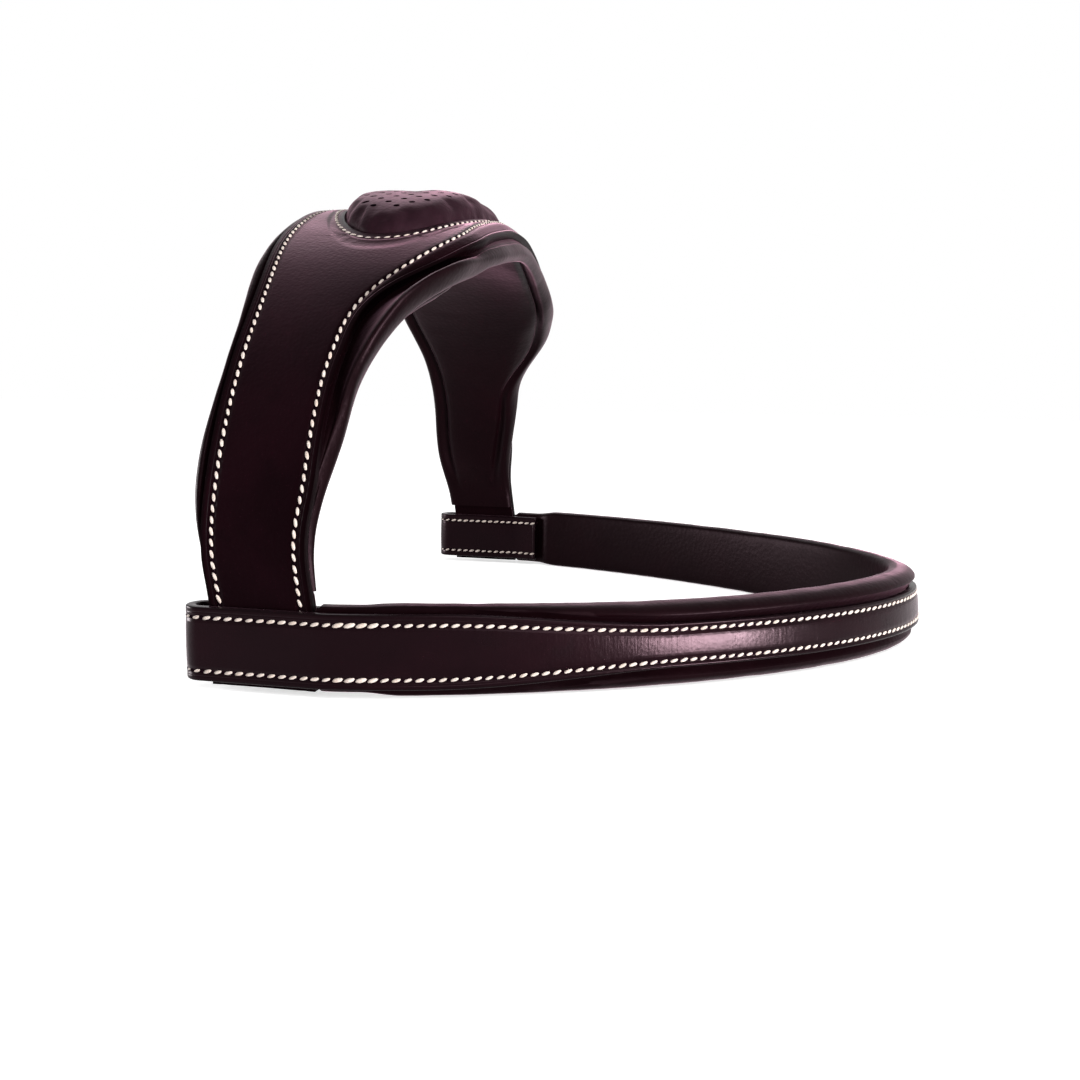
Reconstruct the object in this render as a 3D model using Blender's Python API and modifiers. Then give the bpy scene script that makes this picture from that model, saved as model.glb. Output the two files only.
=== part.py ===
"""A padded headpiece and its browband, the top half of a bridle, modelled as it is made.

The browband is a leather strap round the forehead whose two ends are turned inwards as
loops. The straps of the padded headpiece stand in those loops. Everything is in metres:
+X points to the horse's nose, +Y to its left side, +Z up.
"""
import math

import bmesh
import bpy
import numpy as np

# Browband sizes
BAND_DEPTH = 0.1627          # from the line through the loops to the middle of the front
BAND_HALF_WIDTH = 0.1040     # from the middle line to the browband at the loops
BAND_FRONT_POWER = 1.48      # how full the curve is towards the front
BAND_SIDE_POWER = 1.143      # how full the curve is towards the sides
BAND_THICKNESS = 0.0077
BAND_HEIGHT = 0.0200
BAND_STRAP_THICKNESS = 0.0024
BAND_STRAP_HEIGHT = 0.0173   # at the loops
BAND_STRIP_HEIGHT = 0.0104   # where the strap narrows across the forehead
TAPER_START = 0.088          # distance along the band from the middle of the front
TAPER_LENGTH = 0.062
STRIP_RAISE = 0.0012
RAISER_MARGIN = 0.0026       # from the strip's edge to the raiser's edge
LINING_SKIN = 0.0009
BAND_ROLL = 0.0030           # how far the band's padded edges bulge outwards
BAND_CROWN = 0.0004

# Loops at the browband's ends
LOOP_LENGTH = 0.0396         # outside, from the rear bend to the front seam
LOOP_REAR = 0.0091           # how far the rear bend lies behind the line through the loops
LOOP_THICKNESS = 0.0095
PAD_TUCK = 0.0022            # how far the padded end runs past the seam into the loop
LOOP_STRAIGHT = 0.0240       # the loops run straight this far ahead of their line
LOOP_LAP = 0.0034            # how far the turned end runs past the seam

# Headpiece arch
CROWN_APEX = 0.1233          # height of the outer leather over the poll
CROWN_SHOULDER = 0.0268      # height below which the straps hang straight
CROWN_SIDE_POWER = 1.0
CROWN_TOP_POWER = 1.175
CROWN_LEATHER = 0.0022
BACKING_THICKNESS = 0.0014
BACKING_INSET = 0.0021       # from the outer leather's edge to the backing's edge
BACKING_SHORT = 0.0012       # the backing ends this far above the straps' ends
STRAP_WIDTH = 0.0266
STRAP_CENTRE = 0.0082        # ahead of the line through the loops
STRAP_STEP = 0.0020          # how far forward the strap steps into its loop
POLL_FRONT = 0.0437          # the leather's front edge over the poll
POLL_REAR = 0.0105           # the leather's rear edge over the poll
POLL_DROOP = 0.0048          # how far the front edge drops over the poll
SIDE_PLAY = 0.0004           # between a strap and each wall of its loop

# Headpiece padding
PAD_DEPTH = 0.0095
PAD_CROWN = 0.0012
PAD_END = 0.0224             # height of the padding's lower end
PAD_TAPER = 0.0320           # height over which the padding thins towards that end
RIM_FRONT = 0.0027           # the padded rim stands this far past the leather's front edge
RIM_REAR = 0.0024
RIM_BULGE = 0.0014           # how much further it stands out halfway down the strap
RIM_PROUD = 0.0013           # how far the rim's top lies under the leather's surface
RIM_ROLL = 0.0068            # width of the rolled rim
RIM_GROOVE = 0.0016
LIP = 0.0015                 # how far the lining reaches under the leather's edge
WING_FLARE = 0.0084          # the padded wing lifts outwards this far

# Poll cushion
CUSHION_WIDTH = 0.0440       # along the horse
CUSHION_LENGTH = 0.0950      # over the poll, measured along the arch
CUSHION_CENTRE = 0.0160
CUSHION_HEIGHT = 0.0052      # above the leather round it
CUSHION_SQUARENESS = 2.3     # 2 is an ellipse, and more is squarer
CUSHION_SKIN = 0.0010
WINDOW_PLAY = 0.0006         # from the cushion to the edge of the leather's window

GAP = 0.0003                 # between pieces that touch

# Worked out from the sizes above
BAND_OUTER = BAND_THICKNESS / 2
BAND_MIDDLE_Z = BAND_HEIGHT / 2
LOOP_SEAM = LOOP_LENGTH - LOOP_REAR
STRAP_FACE = BAND_HALF_WIDTH + BAND_OUTER - BAND_STRAP_THICKNESS - SIDE_PLAY
CROWN_RISE = CROWN_APEX - CROWN_SHOULDER
UNDER_LEATHER = CROWN_LEATHER + GAP
UNDER_BACKING = UNDER_LEATHER + BACKING_THICKNESS + GAP
FRONT_REACH = BAND_DEPTH + BAND_OUTER + STRIP_RAISE
REAR_REACH = max(POLL_REAR + RIM_REAR, LOOP_REAR)
ORIGIN_X = (REAR_REACH - FRONT_REACH) / 2

CURVE_STEPS = 400


def ease(value, start, end):
    """Rise smoothly from 0 at start to 1 at end."""
    share = min(max((value - start) / (end - start), 0.0), 1.0)
    return share * share * (3 - 2 * share)


class Path:
    """A plane curve read by its length, with its direction turned to a normal."""

    def __init__(self, points):
        self.points = np.array(points)
        steps = np.linalg.norm(np.diff(self.points, axis=0), axis=1)
        self.length_at = np.concatenate([[0.0], np.cumsum(steps)])
        self.length = float(self.length_at[-1])

    def at(self, distance):
        return np.array([np.interp(distance, self.length_at, self.points[:, axis]) for axis in (0, 1)])

    def direction(self, distance):
        step = self.length / CURVE_STEPS
        ahead = self.at(min(distance + step, self.length))
        behind = self.at(max(distance - step, 0.0))
        return (ahead - behind) / np.linalg.norm(ahead - behind)

    def offset(self, distance, outwards):
        """The point that lies outwards of the curve, on the left of its direction."""
        along = self.direction(distance)
        return self.at(distance) + outwards * np.array([-along[1], along[0]])


def arch_points():
    """The outer leather's line in the YZ plane, from the apex to the floor on the +Y side."""
    points = []
    for step in range(CURVE_STEPS + 1):
        turn = math.pi / 2 * step / CURVE_STEPS
        points.append((STRAP_FACE * math.sin(turn) ** CROWN_SIDE_POWER,
                       CROWN_SHOULDER + CROWN_RISE * max(math.cos(turn), 0.0) ** CROWN_TOP_POWER))
    points.append((STRAP_FACE, 0.0))
    return points


def band_points():
    """The browband's middle line in the XY plane, from the front to the +Y loop's rear bend."""
    points = []
    for step in range(CURVE_STEPS + 1):
        turn = math.pi / 2 * step / CURVE_STEPS
        reach = max(math.cos(turn), 0.0) ** BAND_FRONT_POWER
        points.append((LOOP_STRAIGHT + (BAND_DEPTH - LOOP_STRAIGHT) * reach,
                       BAND_HALF_WIDTH * math.sin(turn) ** BAND_SIDE_POWER))
    points.append((LOOP_THICKNESS / 2 - LOOP_REAR, BAND_HALF_WIDTH))
    return points


ARCH = Path(arch_points())
BAND = Path(band_points())
ARCH_TO_SHOULDER = ARCH.length - CROWN_SHOULDER
PAD_LENGTH = ARCH.length - PAD_END
SEAM_AT = BAND.length + LOOP_THICKNESS / 2 - LOOP_REAR - LOOP_SEAM
LAP_END = SEAM_AT - LOOP_LAP


def arch_place(distance, forward, outwards):
    """A point of the headpiece: a signed length along the arch, a place along the horse and a
    height over the outer leather's own surface."""
    side = -1.0 if distance < 0 else 1.0
    y, z = ARCH.offset(abs(distance), outwards)
    return (forward, side * y, z)


def band_place(distance, outwards, height):
    """A point of the browband: a signed length along it from the front, outwards and up."""
    side = -1.0 if distance < 0 else 1.0
    x, y = BAND.offset(abs(distance), -outwards)
    return (x, side * y, height)


def share_down(distance):
    """0 at the apex and 1 where the straps start to hang straight."""
    return abs(distance) / ARCH_TO_SHOULDER


def strap_shift(distance):
    """The straps step forward a little before they enter their loops."""
    height = ARCH.length - abs(distance)
    return STRAP_STEP * (1 - ease(height, CROWN_SHOULDER * 0.3, CROWN_SHOULDER * 1.5))


def leather_front(distance):
    strap = STRAP_CENTRE + STRAP_WIDTH / 2
    widening = 1 - ease(share_down(distance), 0.30, 0.62)
    return strap + (POLL_FRONT - strap) * widening + strap_shift(distance)


def leather_rear(distance):
    strap = STRAP_CENTRE - STRAP_WIDTH / 2
    widening = 1 - ease(share_down(distance), 0.10, 0.60)
    return strap + (-POLL_REAR - strap) * widening + strap_shift(distance)


def rim_front(distance):
    """The padded wing runs further down the arch than the leather's own wing."""
    strap = STRAP_CENTRE + STRAP_WIDTH / 2
    widening = 1 - ease(share_down(distance), 0.41, 0.72)
    thinning = 1 - 0.7 * ease(share_down(distance), 0.80, 1.0)
    return strap + (POLL_FRONT - strap) * widening + strap_shift(distance) + RIM_FRONT * thinning


def rim_rear(distance):
    """The padding bulges behind the strap halfway down."""
    bulge = ease(share_down(distance), 0.62, 0.76) * (1 - ease(share_down(distance), 0.84, 1.0))
    thinning = 1 - 0.6 * ease(share_down(distance), 0.86, 1.0)
    return leather_rear(distance) - RIM_REAR * thinning - RIM_BULGE * bulge


def droop(distance, forward):
    """Over the poll the sheet falls away towards its front edge."""
    fade = 1 - ease(share_down(distance), 0.12, 0.45)
    start = STRAP_CENTRE
    reach = (forward - start) / (POLL_FRONT - start)
    ahead = POLL_DROOP * max(reach, 0.0) ** 2
    behind = 0.25 * POLL_DROOP * max(-reach, 0.0) ** 2
    return -(ahead + behind) * fade


def flare(distance, forward):
    """The padded wing lifts outwards past the leather's edge."""
    down = share_down(distance)
    lift = WING_FLARE * ease(down, 0.36, 0.56) * (1 - ease(down, 0.61, 0.80))
    edge = leather_front(distance) + 2 * GAP
    reach = (forward - edge) / (rim_front(distance) - edge)
    return lift * min(max(reach, 0.0), 1.0) ** 1.2


def pad_depth(distance):
    """How deep the padding's inner face lies under the outer leather's surface."""
    height = ARCH.length - abs(distance)
    thin = UNDER_BACKING + LINING_SKIN
    return thin + (PAD_DEPTH - thin) * ease(height, PAD_END - 0.004, PAD_END + PAD_TAPER)


def spread(total, count):
    """Evenly spread signed places from -total to total."""
    return [total * (2 * step / count - 1) for step in range(count + 1)]


def lining_outline(distance):
    """The lining's outer face across the arch, from under the leather's rear edge, round the
    rolled rims and the padded panel, to under its front edge."""
    rear = rim_rear(distance)
    front = rim_front(distance)
    deep = -pad_depth(distance)
    thickness = -UNDER_LEATHER - deep
    groove = RIM_GROOVE * ease(thickness, 0.0035, 0.0065)
    crown = PAD_CROWN * ease(thickness, 0.0035, 0.0065)
    middle = (rear + front) / 2
    half_roll = RIM_ROLL / 2
    lip = leather_front(distance) - LIP
    clear = min(leather_front(distance) + 2 * GAP, lip + 0.5 * (front - 0.0012 - lip))
    edge = leather_rear(distance)
    rise = ease(edge - rear, 0.0012, 0.0022)
    rear_side = [
        (edge + LIP, -UNDER_LEATHER),
        (edge - 0.3 * (edge - rear), -UNDER_LEATHER),
        (rear + 0.0006, -UNDER_LEATHER + (UNDER_LEATHER - RIM_PROUD) * rise),
        (rear, -UNDER_LEATHER - 0.20 * thickness),
        (rear + 0.0010, deep + 0.15 * thickness),
        (rear + half_roll, deep),
        (rear + RIM_ROLL, deep + groove),
        (rear + RIM_ROLL + 0.0022, deep - 0.3 * crown),
    ]
    front_side = [
        (front - RIM_ROLL - 0.0022, deep - 0.3 * crown),
        (front - RIM_ROLL, deep + groove),
        (front - half_roll, deep),
        (front - 0.0010, deep + 0.15 * thickness),
        (front, -UNDER_LEATHER - 0.45 * thickness),
        (front - 0.0012, -UNDER_LEATHER - 0.06 * thickness),
        ((front - 0.0012 + clear) / 2, -UNDER_LEATHER - 0.03 * thickness),
        (clear, -UNDER_LEATHER),
        (lip, -UNDER_LEATHER),
    ]
    return rear_side + [(middle, deep - crown)] + front_side


def lifted(distance, points):
    """Add the poll's droop and the wing's flare to a section of the headpiece."""
    return [(forward, up + droop(distance, forward) + flare(distance, forward))
            for forward, up in points]


def inset(points, amount):
    """Move an open outline sideways, to the left of its direction, by an even amount."""
    line = np.array(points)
    steps = np.diff(line, axis=0)
    steps /= np.linalg.norm(steps, axis=1)[:, None]
    normals = np.stack([-steps[:, 1], steps[:, 0]], axis=-1)
    before = np.vstack([normals[:1], normals])
    after = np.vstack([normals, normals[-1:]])
    mitre = before + after
    mitre /= np.linalg.norm(mitre, axis=1)[:, None]
    stretch = 1 / np.maximum((mitre * before).sum(axis=1), 0.5)
    return line + amount * mitre * stretch[:, None]


# Materials, each with the colour, roughness and metallic value of its leather or padding
def make_material(name, colour, roughness, metallic=0.0):
    material = bpy.data.materials.new(name)
    material.use_nodes = True
    shader = material.node_tree.nodes["Principled BSDF"]
    shader.inputs["Base Color"].default_value = (*colour, 1.0)
    shader.inputs["Roughness"].default_value = roughness
    shader.inputs["Metallic"].default_value = metallic
    return material


def add_object(name, mesh, material, parent, collection):
    """Make a named piece that hangs on an empty and keeps its place in the shared frame."""
    mesh.materials.append(material)
    piece = bpy.data.objects.new(name, mesh)
    collection.objects.link(piece)
    piece.parent = parent
    piece.location = -parent_offset(parent)
    return piece


def parent_offset(parent):
    """Where a parent empty stands, measured from the origin empty."""
    offset = parent.location.copy()
    if parent.parent is None:
        offset.zero()
    return offset


def finish_mesh(bm, name):
    bmesh.ops.recalc_face_normals(bm, faces=bm.faces)
    mesh = bpy.data.meshes.new(name)
    bm.to_mesh(mesh)
    bm.free()
    mesh.shade_smooth()
    mesh.set_sharp_from_angle(angle=math.radians(40))
    return mesh


def sheet_mesh(name, rows, outside):
    """An open sheet from rows of points. Its faces look the way that outside points."""
    bm = bmesh.new()
    grid = [[bm.verts.new(point) for point in row] for row in rows]
    for lower, upper in zip(grid, grid[1:]):
        for column in range(len(lower) - 1):
            bm.faces.new((lower[column], lower[column + 1], upper[column + 1], upper[column]))
    bm.normal_update()
    columns = len(rows[0]) - 1
    middle = bm.faces[:][(len(rows) - 1) // 2 * columns + columns // 2]
    if middle.normal.dot(outside) < 0:
        bmesh.ops.reverse_faces(bm, faces=bm.faces)
    mesh = bpy.data.meshes.new(name)
    bm.to_mesh(mesh)
    bm.free()
    mesh.shade_smooth()
    return mesh


def loft_mesh(name, rings):
    """A closed body through unlike rings of points, with flat ends."""
    bm = bmesh.new()
    loops = [[bm.verts.new(point) for point in ring] for ring in rings]
    for lower, upper in zip(loops, loops[1:]):
        for index in range(len(lower)):
            after = (index + 1) % len(lower)
            bm.faces.new((lower[index], lower[after], upper[after], upper[index]))
    bm.faces.new(loops[0])
    bm.faces.new(loops[-1])
    return finish_mesh(bm, name)


def thicken(piece, thickness, edge=0.0):
    """Give a sheet its thickness on its inner side, and soften its cut edges."""
    solidify = piece.modifiers.new("Thickness", "SOLIDIFY")
    solidify.thickness = thickness
    solidify.offset = -1.0
    solidify.use_even_offset = True
    if edge > 0:
        bevel = piece.modifiers.new("Edges", "BEVEL")
        bevel.width = edge
        bevel.segments = 1
        bevel.limit_method = "ANGLE"
        bevel.angle_limit = math.radians(60)


# Headpiece pieces
def cushion_edge(angle, grow):
    """A point of the cushion's outline over the poll: along the arch and along the horse."""
    power = 2 / CUSHION_SQUARENESS
    cosine, sine = math.cos(angle), math.sin(angle)
    along = (CUSHION_LENGTH / 2 + grow) * math.copysign(abs(cosine) ** power, cosine)
    across = (CUSHION_WIDTH / 2 + grow) * math.copysign(abs(sine) ** power, sine)
    return along, CUSHION_CENTRE + across


def cushion_ring(grow, reach, height, sides):
    """A ring of points round the cushion, drawn in by reach, at a height over the leather."""
    ring = []
    for side in range(sides):
        along, forward = cushion_edge(2 * math.pi * side / sides, grow)
        along *= reach
        forward = CUSHION_CENTRE + (forward - CUSHION_CENTRE) * reach
        ring.append(arch_place(along, forward, height + droop(along, forward)))
    return ring


def cushion_rings(grow, height, foot, steps, sides):
    """Rings of a dome over the poll, from its foot to just below its top."""
    rings = []
    for step in range(steps):
        turn = math.pi / 2 * step / steps
        up = foot + (height - foot) * math.sin(turn) ** 0.9
        rings.append(cushion_ring(grow, math.cos(turn) ** 0.55, up, sides))
    return rings


def dome_mesh(name, rings, top, bottom=None):
    """A dome from rings and a top point, closed below if it has a bottom point too."""
    bm = bmesh.new()
    loops = [[bm.verts.new(point) for point in ring] for ring in rings]
    for lower, upper in zip(loops, loops[1:]):
        for index in range(len(lower)):
            after = (index + 1) % len(lower)
            bm.faces.new((lower[index], lower[after], upper[after], upper[index]))
    peak = bm.verts.new(top)
    for index in range(len(loops[-1])):
        bm.faces.new((loops[-1][index], loops[-1][(index + 1) % len(loops[-1])], peak))
    if bottom:
        root = bm.verts.new(bottom)
        for index in range(len(loops[0])):
            bm.faces.new((loops[0][(index + 1) % len(loops[0])], loops[0][index], root))
    bm.normal_update()
    if peak.normal.z < 0:
        bmesh.ops.reverse_faces(bm, faces=bm.faces)
    mesh = bpy.data.meshes.new(name)
    bm.to_mesh(mesh)
    bm.free()
    mesh.shade_smooth()
    return mesh


def cushion_top(height):
    return arch_place(0.0, CUSHION_CENTRE, height + droop(0.0, CUSHION_CENTRE))


def window_places():
    """Places along the arch for the leather's rows, closer together near the window's ends,
    each with half the window's width there."""
    end = CUSHION_LENGTH / 2 + WINDOW_PLAY
    places = []
    for step in range(13):
        along, forward = cushion_edge(math.pi / 2 * (1 - step / 12), WINDOW_PLAY)
        places.append((along, forward - CUSHION_CENTRE))
    places[-1] = (end, 0.0)
    count = 22
    for step in range(1, count + 1):
        places.append((end + (ARCH.length - end) * step / count, 0.0))
    return [(-along, width) for along, width in reversed(places[1:])] + places


def build_top_leather(material, parent, collection):
    """The outer leather, cut wide over the poll, with a window for the cushion."""
    cells = 3
    bm = bmesh.new()
    grid = []
    for distance, width in window_places():
        rear, front = leather_rear(distance), leather_front(distance)
        away = ease(abs(distance), CUSHION_LENGTH / 2, CUSHION_LENGTH)
        middle = CUSHION_CENTRE + ((rear + front) / 2 - CUSHION_CENTRE) * away
        forwards = [rear + (middle - width - rear) * cell / cells for cell in range(cells + 1)]
        forwards += [front + (middle + width - front) * cell / cells
                     for cell in range(cells, -1, -1)]
        grid.append([bm.verts.new(arch_place(distance, forward, droop(distance, forward)))
                     for forward in forwards])
    for lower, upper in zip(grid, grid[1:]):
        for column in range(2 * cells + 1):
            if column != cells:
                bm.faces.new((lower[column], lower[column + 1], upper[column + 1], upper[column]))
    bmesh.ops.remove_doubles(bm, verts=bm.verts, dist=GAP / 100)
    bm.normal_update()
    if sum(face.normal.z for face in bm.faces) < 0:
        bmesh.ops.reverse_faces(bm, faces=bm.faces)
    mesh = bpy.data.meshes.new("crown_top_leather")
    bm.to_mesh(mesh)
    bm.free()
    mesh.shade_smooth()
    piece = add_object("crown_top_leather", mesh, material, parent, collection)
    thicken(piece, CROWN_LEATHER, 0.0005)


def build_backing(material, parent, collection):
    """The inner leather that carries the pull. It narrows under the lining's lips and is as
    wide as the strap below the padding."""
    inner = spread(PAD_LENGTH + GAP, 52)
    below = [PAD_LENGTH + GAP + BACKING_INSET * step for step in (1, 3)]
    below.append(ARCH.length - BACKING_SHORT)
    columns = 5
    rows = []
    for distance in [-place for place in reversed(below)] + inner + below:
        narrower = BACKING_INSET if abs(distance) < PAD_LENGTH + 2 * GAP else 0.0
        rear = leather_rear(distance) + narrower
        front = leather_front(distance) - narrower
        row = []
        for column in range(columns + 1):
            forward = rear + (front - rear) * column / columns
            row.append(arch_place(distance, forward, droop(distance, forward) - UNDER_LEATHER))
        rows.append(row)
    piece = add_object("crown_backing", sheet_mesh("crown_backing", rows, (0, 0, 1)),
                       material, parent, collection)
    thicken(piece, BACKING_THICKNESS)


def build_crown_lining(material, parent, collection):
    """The soft lining, wrapped round the padding with a rolled rim along both edges."""
    rows = []
    for distance in spread(PAD_LENGTH, 32):
        rows.append([arch_place(distance, forward, up)
                     for forward, up in lifted(distance, lining_outline(distance))])
    piece = add_object("crown_lining", sheet_mesh("crown_lining", rows, (0, 0, -1)),
                       material, parent, collection)
    thicken(piece, LINING_SKIN)


def build_crown_foam(material, parent, collection):
    """The padding itself, filling the lining up to the backing."""
    rings = []
    for distance in spread(PAD_LENGTH, 32)[1:-1]:
        outer = lifted(distance, lining_outline(distance))
        down = share_down(distance)
        wing = ease(down, 0.28, 0.42) * (1 - ease(down, 0.64, 0.80))
        lower = [tuple(point) for point in inset(outer, LINING_SKIN + (2 + 12 * wing) * GAP)[4:-5]]
        first, last = lower[0][0], lower[-1][0]
        edge = min(last - GAP, leather_front(distance))
        under = [edge + (first - edge) * step / 6 for step in range(7)]
        upper = lifted(distance, [(forward, -UNDER_BACKING) for forward in [last] + under])
        lowest = [up - GAP for up in np.interp([forward for forward, _ in lower],
                                               [forward for forward, _ in reversed(upper)],
                                               [up for _, up in reversed(upper)])]
        lower = [(forward, min(up, limit)) for (forward, up), limit in zip(lower, lowest)]
        rings.append([arch_place(distance, forward, up) for forward, up in lower + upper])
    add_object("crown_foam", loft_mesh("crown_foam", rings), material, parent, collection)


def build_cushion(cover_material, core_material, parent, collection):
    """The perforated cover that swells through the window, and the soft core inside it."""
    foot = -CROWN_LEATHER
    cover_foot = foot + CUSHION_SKIN / 2
    cover = add_object(
        "poll_cushion_cover",
        dome_mesh("poll_cushion_cover", cushion_rings(0.0, CUSHION_HEIGHT, cover_foot, 8, 40),
                  cushion_top(CUSHION_HEIGHT)),
        cover_material, parent, collection)
    thicken(cover, CUSHION_SKIN)
    shrink = CUSHION_SKIN + GAP
    height = CUSHION_HEIGHT - shrink
    under = [cushion_ring(-shrink, (step + 1) / 6, foot, 32) for step in range(5)]
    over = cushion_rings(-shrink, height, foot, 6, 32)
    add_object(
        "poll_cushion_core",
        dome_mesh("poll_cushion_core", under + over, cushion_top(height), cushion_top(foot)),
        core_material, parent, collection)


# Browband pieces
def narrowing(distance):
    """0 at the loops and 1 where the strap is at its narrowest."""
    return 1 - ease(abs(distance), TAPER_START, TAPER_START + TAPER_LENGTH)


def strap_half_height(distance):
    return (BAND_STRAP_HEIGHT + (BAND_STRIP_HEIGHT - BAND_STRAP_HEIGHT) * narrowing(distance)) / 2


def strap_route():
    """The strap's outer face in plan with its half height: the turned end of the -Y loop,
    round the forehead, to the turned end of the +Y loop."""
    bend = LOOP_THICKNESS / 2
    half = BAND_STRAP_HEIGHT / 2
    middle_y = BAND_HALF_WIDTH + BAND_OUTER - bend
    side = []
    for step in range(7):
        distance = LAP_END + (BAND.length - LAP_END) * step / 7
        x, y, _ = band_place(distance, BAND_OUTER - LOOP_THICKNESS, 0.0)
        side.append((x, y, half))
    for step in range(9):
        turn = math.pi * step / 8
        side.append((bend - LOOP_REAR - bend * math.sin(turn), middle_y - bend * math.cos(turn), half))
    route = [(x, -y, half) for x, y, half in side]
    straight = BAND.length - 0.0012
    for distance in spread(straight, 76):
        x, y, _ = band_place(distance, BAND_OUTER + STRIP_RAISE * narrowing(distance), 0.0)
        route.append((x, y, strap_half_height(distance)))
    route += list(reversed(side))
    return route


def build_band_strap(material, parent, collection):
    """The one long strap, tapered across the forehead, its ends turned in as loops."""
    rows = []
    for x, y, half in strap_route():
        rows.append([(x, y, BAND_MIDDLE_Z + level * half) for level in (-1, 0, 1)])
    piece = add_object("browband_strap", sheet_mesh("browband_strap", rows, (1, 0, 0)),
                       material, parent, collection)
    thicken(piece, BAND_STRAP_THICKNESS, 0.0005)


def build_raiser(material, parent, collection):
    """The filler that lifts the narrow strip across the forehead."""
    end = TAPER_START + 0.45 * TAPER_LENGTH
    back = BAND_OUTER - BAND_STRAP_THICKNESS
    rings = []
    for distance in spread(end, 34):
        half = strap_half_height(distance) - RAISER_MARGIN
        face = back + STRIP_RAISE * narrowing(distance) - GAP
        rings.append([band_place(distance, back, BAND_MIDDLE_Z - half),
                      band_place(distance, face, BAND_MIDDLE_Z - half),
                      band_place(distance, face, BAND_MIDDLE_Z + half),
                      band_place(distance, back, BAND_MIDDLE_Z + half)])
    add_object("browband_raiser", loft_mesh("browband_raiser", rings), material, parent, collection)


def band_tuck(distance):
    """0 along the band and 1 where its padded end is tucked under the turned strap."""
    return ease(abs(distance), LAP_END - 0.0045, LAP_END - 0.0008)


def band_lining_outline(distance):
    """The lining's outer face round the band: from behind the strap's upper edge, over the
    top roll, down the inner face, round the lower roll, to behind the strap's lower edge."""
    tuck = band_tuck(distance)
    half = BAND_HEIGHT / 2 - (BAND_HEIGHT - BAND_STRAP_HEIGHT + 0.001) / 2 * tuck
    edge = min(strap_half_height(distance), half - LINING_SKIN)
    back = BAND_OUTER - BAND_STRAP_THICKNESS - GAP
    open_in = -BAND_OUTER
    tucked_in = BAND_OUTER - LOOP_THICKNESS + BAND_STRAP_THICKNESS + GAP
    inner = open_in + (tucked_in - open_in) * tuck
    crown = BAND_CROWN * (1 - tuck)
    margin = half - edge
    bulge = min(BAND_ROLL, max(0.75 * (margin - 0.0012), 0.0))
    side = [
        (back, edge - LIP),
        (back + 0.6 * bulge, edge + GAP + 0.15 * (margin - GAP)),
        (back + bulge, edge + 0.5 * margin),
        (back + 0.5 * bulge - 0.0004, edge + 0.86 * margin),
        (back - 0.0014, half),
        (inner + 0.0015, half),
        (inner, half - 0.0016),
    ]
    upper = [(out, up) for out, up in side]
    lower = [(out, -up) for out, up in reversed(side)]
    return upper + [(inner - crown, 0.0)] + lower


def build_band_lining(material, parent, collection):
    """The soft lining round the browband's padding, proud above and below the strip."""
    rows = []
    for distance in band_stations():
        rows.append([band_place(distance, out, BAND_MIDDLE_Z + up)
                     for out, up in band_lining_outline(distance)])
    piece = add_object("browband_lining", sheet_mesh("browband_lining", rows, (-1, 0, 0)),
                       material, parent, collection)
    thicken(piece, LINING_SKIN)


def band_stations():
    """Places along the band, evenly spread with a few more near its tucked ends."""
    end = SEAM_AT + PAD_TUCK
    near_end = 0.014
    inner = spread(end - near_end, 30)
    tail = [end - near_end * (1 - step / 4) for step in range(1, 5)]
    return [-distance for distance in reversed(tail)] + inner + tail


def build_band_foam(material, parent, collection):
    """The browband's padding inside its lining."""
    rings = []
    for distance in band_stations()[1:-1]:
        outline = inset(band_lining_outline(distance), LINING_SKIN + GAP)[2:-2]
        limit = BAND_OUTER - BAND_STRAP_THICKNESS - LINING_SKIN - 2 * GAP
        rings.append([band_place(distance, min(out, limit), BAND_MIDDLE_Z + up)
                      for out, up in outline])
    add_object("browband_foam", loft_mesh("browband_foam", rings), material, parent, collection)


def build_bridle():
    """Clear the scene and make every piece of the headpiece and the browband."""
    for leftover in list(bpy.data.objects):
        bpy.data.objects.remove(leftover, do_unlink=True)
    collection = bpy.data.collections.new("bridle")
    bpy.context.scene.collection.children.link(collection)

    origin = bpy.data.objects.new("bridle_origin", None)
    collection.objects.link(origin)
    origin.location = (ORIGIN_X, 0.0, 0.0)
    slide = bpy.data.objects.new("headpiece_slide", None)
    collection.objects.link(slide)
    slide.parent = origin
    slide.location = (STRAP_CENTRE + STRAP_STEP, 0.0, BAND_MIDDLE_Z)

    top_leather = make_material("crown_top_leather", (0.030, 0.014, 0.018), 0.42)
    backing = make_material("crown_backing", (0.035, 0.020, 0.020), 0.60)
    lining = make_material("crown_lining", (0.040, 0.020, 0.026), 0.50)
    foam = make_material("crown_foam", (0.20, 0.19, 0.19), 0.95)
    cover = make_material("poll_cushion_cover", (0.055, 0.034, 0.038), 0.55)
    core = make_material("poll_cushion_core", (0.25, 0.25, 0.30), 0.40)
    strap = make_material("browband_strap", (0.028, 0.013, 0.018), 0.34)
    raiser = make_material("browband_raiser", (0.10, 0.06, 0.04), 0.80)
    band_lining = make_material("browband_lining", (0.034, 0.017, 0.022), 0.50)
    band_foam = make_material("browband_foam", (0.20, 0.19, 0.19), 0.95)

    build_top_leather(top_leather, slide, collection)
    build_backing(backing, slide, collection)
    build_crown_lining(lining, slide, collection)
    build_crown_foam(foam, slide, collection)
    build_cushion(cover, core, slide, collection)
    build_band_strap(strap, origin, collection)
    build_raiser(raiser, origin, collection)
    build_band_lining(band_lining, origin, collection)
    build_band_foam(band_foam, origin, collection)
    bpy.context.view_layer.update()


build_bridle()
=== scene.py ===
import math

import bmesh
import bpy
import numpy as np
from mathutils import Matrix, Vector, noise


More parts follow.
